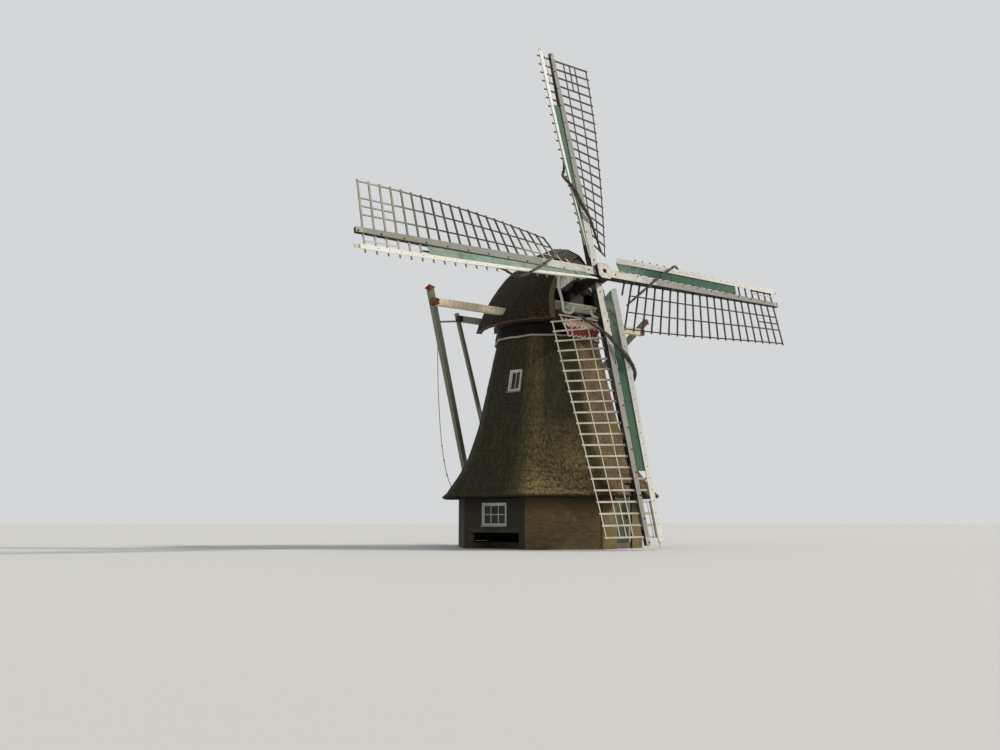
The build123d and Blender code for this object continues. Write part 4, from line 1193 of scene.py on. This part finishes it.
class MillCapTrim(bpy.types.Operator):
    """Lapped ridge boards, gable boards, bargeboards and the painted beard"""

    bl_idname = "mill.cap_trim"
    bl_label = "Cap boards"

    def lapped(self, board, number):
        """Lays a board down the slope of the ridge, lapped over the one below it."""
        for vertex in board.data.vertices:
            x, y, z = vertex.co
            near, far = next(pair for pair in zip(ridge_line, ridge_line[1:])
                             if y <= pair[1][0] + 1e-4 or pair[1] is ridge_line[-1])
            share = min(max((y - near[0]) / (far[0] - near[0]), 0.0), 1.0)
            out = z + 0.003 + 0.016 * x / ridge_board_width
            down = number * ridge_board_step + x
            vertex.co = (down * math.cos(ridge_slope) + out * math.sin(ridge_slope), y,
                         near[1] + (far[1] - near[1]) * share
                         - down * math.sin(ridge_slope) + out * math.cos(ridge_slope))
        return board

    def ridge_strip(self, low_x, high_x, inset, low_z, high_z):
        """A flat board along the ridge, cut where the ridge bends."""
        strip = block((low_x, ridge_line[0][0] + inset, low_z),
                      (high_x, ridge_line[-1][0] - inset, high_z), 0.0)
        for y, _ in ridge_line[1:-1]:
            shaped(strip, bpy.ops.mesh.bisect, plane_co=(0, y, 0), plane_no=(0, 1, 0))
        return strip

    def execute(self, context):
        # The ridge boards are near-black: painted shadow under the laps
        tarred = timber("dark_ridge_boards_with_painted_shadow", lengthwise, "#1b1918", "#453f36", "#2b2824", peel=0.66)
        dress(tarred, "ridge_boards")
        dress(timber("gable_boards_with_painted_shadow", upright, gable_paint_and_shadow, "#3e382f", "#2a2723", seams=0.17),
              "front_boards", "back_boards")
        # Seven boards on each slope, and a pale strip along the lower edge of each: a painted highlight
        laps = []
        strips = []
        wide = ridge_board_width
        for number in range(7):
            board = eased(self.ridge_strip(0, wide, 0, 0, 0.014), 0.003)
            laps.append(self.lapped(board, number))
            strip = self.ridge_strip(wide - 0.046, wide - 0.002, 0.004, 0.0141, 0.0155)
            strips.append(self.lapped(strip, number))
        # The pale strip is a painted highlight on the edge of each lap
        bleached = timber("lap_edges_with_painted_highlight", lengthwise, "#a59e8c", "#5a5346", "#7a7364")
        complete(both_sides(join(laps)), "ridge_laps", tarred, "cap", 20)
        complete(both_sides(join(strips)), "ridge_lap_edges", bleached, "cap", 20)
        # Bargeboards: down each edge of the reed, forward past the sheers, and round into an open curl
        barge = timber("white_barge_paint", upright, "#fbf8ee", "#a29a8a", "#d8d4c8", peel=0.72)
        spine = [(0, 9.945), (0.3, 9.93), (0.62, 9.8), (0.88, 9.56), (1.02, 9.27), (1.0, 8.95),
                 (0.93, 8.65), (0.875, 8.42), (0.875, 8.165), (0.405, 8.165), (0.405, 8.42)]
        route = [(x, -1.918 - 0.142 * min(max((9.56 - z) / 0.91, 0), 1), z) for x, z in spine]
        line = even_points(spline_points(route), 0.04)
        back = Vector((0, 0.0175, 0))
        rows = []
        for index, point in enumerate(line):
            side = heading(line, index).cross(Vector((0, 1, 0))) * 0.046
            rows.append([point + side + back, point + side - back,
                         point - side - back, point - side + back])
        boards = both_sides(woven(rows, closed=True))
        complete(boards, "curled_bargeboards", barge, "cap", 35)
        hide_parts("bargeboards")
        # The beard: a board that narrows to its foot, with rounded scallops and a raised white edging
        beard = timber("red_beard_paint", upright, beard_paint, "#6a5444", "#5b2a22", peel=0.68)
        board = block((-beard_top_half, beard_front, beard_foot),
                      (beard_top_half, beard_back, beard_top), 0.0)
        for vertex in board.data.vertices:
            if vertex.co.z < beard_foot + 0.01:
                vertex.co.x *= beard_foot_half / beard_top_half
        scallops = [start(bpy.ops.mesh.primitive_cylinder_add, vertices=28, radius=scallop_width / 2,
                          depth=0.032, location=(centre, (beard_front + beard_back) / 2, beard_foot),
                          rotation=(math.radians(90), 0, 0))
                    for centre in scallop_centres]
        scalloped = complete(join([board] + scallops), "scalloped_beard", beard, "cap", 35)
        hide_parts("beard")
        edging = []
        for side in (-1, 1):
            run = Vector(((beard_top_half - beard_foot_half) * side, 0, beard_top - beard_foot))
            lean = Matrix.Rotation(math.atan2(run.x, run.z), 4, "Y")
            foot = shift(side * (beard_foot_half - 0.02), beard_front - 0.0003, beard_foot)
            edging.append(moved(block((-0.02, -0.009, 0.0), (0.02, -0.0004, run.length), 0.003), foot @ lean))
        edging.append(block((-beard_top_half - 0.01, -2.088, beard_top - 0.035),
                            (beard_top_half + 0.01, -2.0306, beard_top + 0.01), 0.005))
        complete(join(edging), "beard_edging", barge, "cap")
        rim = shaped(ring(scallop_width / 2 - 0.016, 0.014, 28, 6), bpy.ops.mesh.bisect, plane_co=(0, 0, 0),
                     plane_no=(0, 1, 0), use_fill=True, clear_outer=True)
        places = [shift(centre, beard_front - 0.0035, beard_foot) @ turned(90, "X")
                  for centre in scallop_centres]
        complete(copies(rim, places), "beard_rims", barge, "cap", 60)
        return {"FINISHED"}


class MillSails(bpy.types.Operator):
    """Finishes of the four sails, their planks and root boards, and what wedges and bolts them"""

    bl_idname = "mill.sails"
    bl_label = "Sails"

    def execute(self, context):
        settings = context.scene.mill_iron
        bars = timber("cream_lattice_paint_with_painted_shade", sail_places, bar_paint, "#4f4739", "#6f674f", peel=0.66)
        dress(bars, "sail_lattice_1", "sail_lattice_2", "sail_lattice_3", "sail_lattice_4")
        edge = timber("white_edge_paint", sail_places, chosen("white"), "#8c8677", "#b3b0a0", peel=0.68)
        dress(edge, "leading_edges")
        fresh = timber("fresh_white_paint", sail_places, "#fffdf4", "#a8a396", "#e2e0d4", peel=0.73)
        green = timber("green_windboard_paint", sail_places, board_paint, "#7d8473", "#42604f", peel=0.68)
        dress(green, "windboards")
        dress(timber("painted_stock_timber", sail_places, stock_paint, "#6d6a62", "#8a8478", peel=0.69),
              "inner_stock", "outer_stock")
        dress(timber("painted_poll_end", sail_places, poll_paint, "#4a3b30", "#3d3936", peel=0.64),
              "windshaft")
        iron = forged_iron("sail_iron")
        # A wedge beside each bar where it leaves the stock, and one nearer the hub
        wedges = []
        for along in [1.18] + bar_places():
            half = stock_size(along)[0] / 2 / math.cos(weather(along))
            for side, about in ((-1, 180), (1, 0)):
                place = twisted(along) @ shift(side * (half - 0.01), 0, along) @ turned(about, "Z")
                wedges.append(moved(block((0.0, -0.016, 0.0305), (0.07, 0.016, 0.052), 0.003), place))
        on_arms(join(wedges), "bar_wedges", bars)
        # Bolts on the front of each stock, near its leading side, beside every second bar
        heads = []
        for along in [place + 0.19 for place in bar_places()[::2]]:
            width, depth = stock_size(along)
            heads.append(shift(-width / 2 + 0.05, -depth / 2 + 0.001, along) @ turned(90, "X"))
        heads.append(shift(0, -0.1295, 0.62) @ turned(90, "X"))
        stock_bolts = copies(bolt_head(settings.bolt_radius, settings.bolt_height), heads)
        on_arms(stock_bolts, "stock_bolts", iron)
        # A turned wooden button over each joint between two boards
        buttons = [moved(block((-0.42, -0.052, -0.05), (-0.385, -0.0445, 0.05), 0.003),
                         shift(0, 0, along - 0.004) @ twisted(along))
                   for along in (1.05 + 1.202 * number for number in range(1, 5))]
        on_arms(join(buttons), "board_buttons", green)
        # White planks lean forward from the leading edge, from close to the hub to near the tip
        rows = []
        marks = [(along, 1.0) for along in [0.56, 0.8, 1.05] + bar_places()]
        for along, lean in marks + [(plank_end, 0.45)]:
            section = [(-0.474, -0.0535), (-0.654, -0.0535 - 0.039 * lean),
                       (-0.65, -0.072 - 0.039 * lean), (-0.47, -0.072)]
            rows.append([shift(0, 0, along) @ twisted(along) @ Vector((x, y, 0)) for x, y in section])
        plank = modified(face_outward(woven(rows, closed=True)), "BEVEL", width=0.003, segments=1)
        on_arms(plank, "edge_planks", fresh)
        nails = []
        ends = []
        for along in bar_places():
            place = shift(0, 0, along) @ twisted(along)
            nails.append(place @ shift(-0.56, -0.0905, 0) @ turned(12.2, "Z") @ turned(90, "X"))
            # The bars run on past the planks, less far where the rolled cloth goes round them
            reach = 0.665 if 3.3 < along < 4.3 else 0.71
            ends.append(moved(block((-reach, -0.0155, -0.023), (-0.596, 0.0155, 0.023), 0.003), place))
        on_arms(copies(bolt_head(0.011, 0.009), nails[:-1]), "edge_bolts", iron)
        on_arms(join(ends), "bar_ends", bars)
        # A board laid over the first one carries it on past the first bar to a curved end
        left, right, foot, top = -0.466, -0.2, 0.6, 1.32
        root = block((left, -0.0655, foot), (right, -0.0435, top), 0.0)
        shaped(root, bpy.ops.mesh.subdivide, number_cuts=7)
        for vertex in root.data.vertices:
            share = (vertex.co.x - left) / (right - left)
            rise = 0.2 * share * share * (3 - 2 * share)
            vertex.co.z = foot + rise + (vertex.co.z - foot) * (top - foot - rise) / (top - foot)
            vertex.co = twisted(vertex.co.z) @ vertex.co
        on_arms(root, "root_boards", green)
        # A short lath steadies the last four bars on the leading side
        lath = block((-0.35, -0.038, bar_places()[-4] - 0.05), (-0.315, -0.0175, last_bar + 0.05), 0.003)
        on_arms(lath, "tip_laths", edge)
        # Wedges round each stock where it passes through the poll end
        keys = [moved(block((x - 0.035, -0.168, 0.285), (x + 0.035, -0.1305, 0.36), 0.006),
                      turned(about, "Y")) for about in (180, 0) for x in (-0.09, 0.09)]
        on_arms(join(keys), "poll_wedges", bars, arms=2)
        return {"FINISHED"}


class MillTail(bpy.types.Operator):
    """Tail pole, braces, winding winch and brake lever, with their straps and bolts"""

    bl_idname = "mill.tail"
    bl_label = "Tail"

    def execute(self, context):
        settings = context.scene.mill_iron
        green = timber("sage_tail_paint", upright, chosen("sage"), "#7b7563", "#59614f", peel=0.58)
        dress(green, "tail_pole", "long_braces", "short_braces")
        dress(timber("red_cap_paint", upright, chosen("red"), "#7a5a48", "#62291f"), "brace_caps")
        dress(timber("grey_lever_timber", lengthwise, "#8d8d84", "#6f6b60", "#5d5b54"), "brake_lever")
        dress(timber("worn_winch_timber", crosswise, "#7d7564", "#6a5c47", "#4d463a"), "winding_winch")
        iron = forged_iron("tail_iron")
        top = Vector((0, 2.26, 8.7603))
        foot = Vector((0, 5.05, 1.05))
        lean = Vector((0, 0, 1)).rotation_difference((top - foot).normalized()).to_matrix().to_4x4()
        straps = [moved(sleeve(0.254, 0.06, settings.strap_thickness),
                        Matrix.Translation(top.lerp(foot, (top.z - height) / (top.z - foot.z))) @ lean)
                  for height in (7.3, 4.75, 3.9, 2.3, 1.33)]
        complete(join(straps), "tail_straps", iron, "cap")
        # Bolts through the braces and the ends of both cross beams, and through the weather beam
        pairs = [(side * x, y, z, 0.05)
                 for side in (-1, 1) for x, y, z in ((4.76, -0.06, 8.41), (2.54, 1.84, 8.395))]
        pairs += [(x, -1.85, 8.45, 0.09) for x in (-0.78, 0.78)]
        heads = [shift(x, y + 0.001, z + lift) @ turned(90, "X")
                 for x, y, z, apart in pairs for lift in (-apart, apart)]
        bolts = copies(bolt_head(settings.bolt_radius * 1.2, settings.bolt_height * 1.2), heads)
        complete(bolts, "beam_bolts", iron, "cap")
        return {"FINISHED"}


class MillStage(bpy.types.Operator):
    """Pale floor, pale surroundings and a soft sun"""

    bl_idname = "mill.stage"
    bl_label = "Stage"

    def execute(self, context):
        bpy.ops.object.select_all(action="DESELECT")
        bpy.ops.mesh.primitive_plane_add(size=400, location=(0, 0, 0))
        floor = context.object
        floor.name = "floor_stage"
        material, add = finish("pale_floor")
        surface(add, "#d9d9d6", 0.9)
        floor.data.materials.append(material)
        bpy.ops.object.select_all(action="DESELECT")
        bpy.ops.object.light_add(type="SUN", location=(20, -20, 30))
        sun = context.object
        sun.name = "Sun"
        sun.data.energy = 2.45
        sun.data.angle = math.radians(6)
        sun.data.color = (1.0, 0.94, 0.84)
        # The sun stands 38 degrees high, 55 degrees to the right of the front
        height, right = math.radians(38), math.radians(55)
        aim = Vector((math.sin(right), -math.cos(right), math.tan(height)))
        sun.rotation_euler = aim.to_track_quat("Z", "Y").to_euler()
        world = bpy.data.worlds.new("soft_sky")
        context.scene.world = world
        world.use_nodes = True
        world.node_tree.nodes.clear()
        add = partial(node, world.node_tree)
        seen = add("LightPath", take="Is Camera Ray")
        for ray in ("Is Glossy Ray", "Is Transmission Ray"):
            seen = add("Math MAXIMUM", seen, add("LightPath", take=ray))
        soft = add("Background", "#e8ecf0", 0.5)
        pale = add("Background", "#d4d6d8", 1.0)
        add("OutputWorld", add("MixShader", seen, soft, pale))
        context.scene.view_settings.view_transform = "Standard"
        return {"FINISHED"}


class MillPanel(bpy.types.Panel):
    """The mill's pieces in the sidebar"""

    bl_idname = "VIEW3D_PT_mill"
    bl_label = "Mill"
    bl_space_type = "VIEW_3D"
    bl_region_type = "UI"
    bl_category = "Mill"

    def draw(self, context):
        for name in settings_groups:
            group = getattr(context.scene, name)
            box = self.layout.box()
            for key in group.__annotations__:
                box.prop(group, key)
        for operator in operators:
            self.layout.operator(operator.bl_idname)


settings_groups = {"mill_paints": MillPaints, "mill_reed": MillReed, "mill_iron": MillIron,
                   "mill_cloth": MillCloth}
operators = [MillCamera, MillBrakeRope, MillFurledSails, MillThatch, MillBase, MillWindows, MillDoors,
             MillFrame, MillCapTrim, MillSails, MillTail, MillStage]


def register():
    """Registers the settings, the operators and the panel."""
    for name, group in settings_groups.items():
        bpy.utils.register_class(group)
        setattr(bpy.types.Scene, name, bpy.props.PointerProperty(type=group))
    for operator in operators:
        bpy.utils.register_class(operator)
    bpy.utils.register_class(MillPanel)


def unregister():
    """Takes everything out again."""
    bpy.utils.unregister_class(MillPanel)
    for operator in reversed(operators):
        bpy.utils.unregister_class(operator)
    for name, group in settings_groups.items():
        delattr(bpy.types.Scene, name)
        bpy.utils.unregister_class(group)


def main():
    """Makes the whole mill in order."""
    register()
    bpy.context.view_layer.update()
    bpy.ops.mill.camera()
    bpy.ops.mill.brake_rope()
    bpy.ops.mill.furled_sails()
    bpy.ops.mill.thatch()
    bpy.ops.mill.base()
    bpy.ops.mill.windows()
    bpy.ops.mill.doors()
    bpy.ops.mill.timber_frame()
    bpy.ops.mill.cap_trim()
    bpy.ops.mill.sails()
    bpy.ops.mill.tail()
    bpy.ops.mill.stage()


if __name__ == "__main__":
    main()
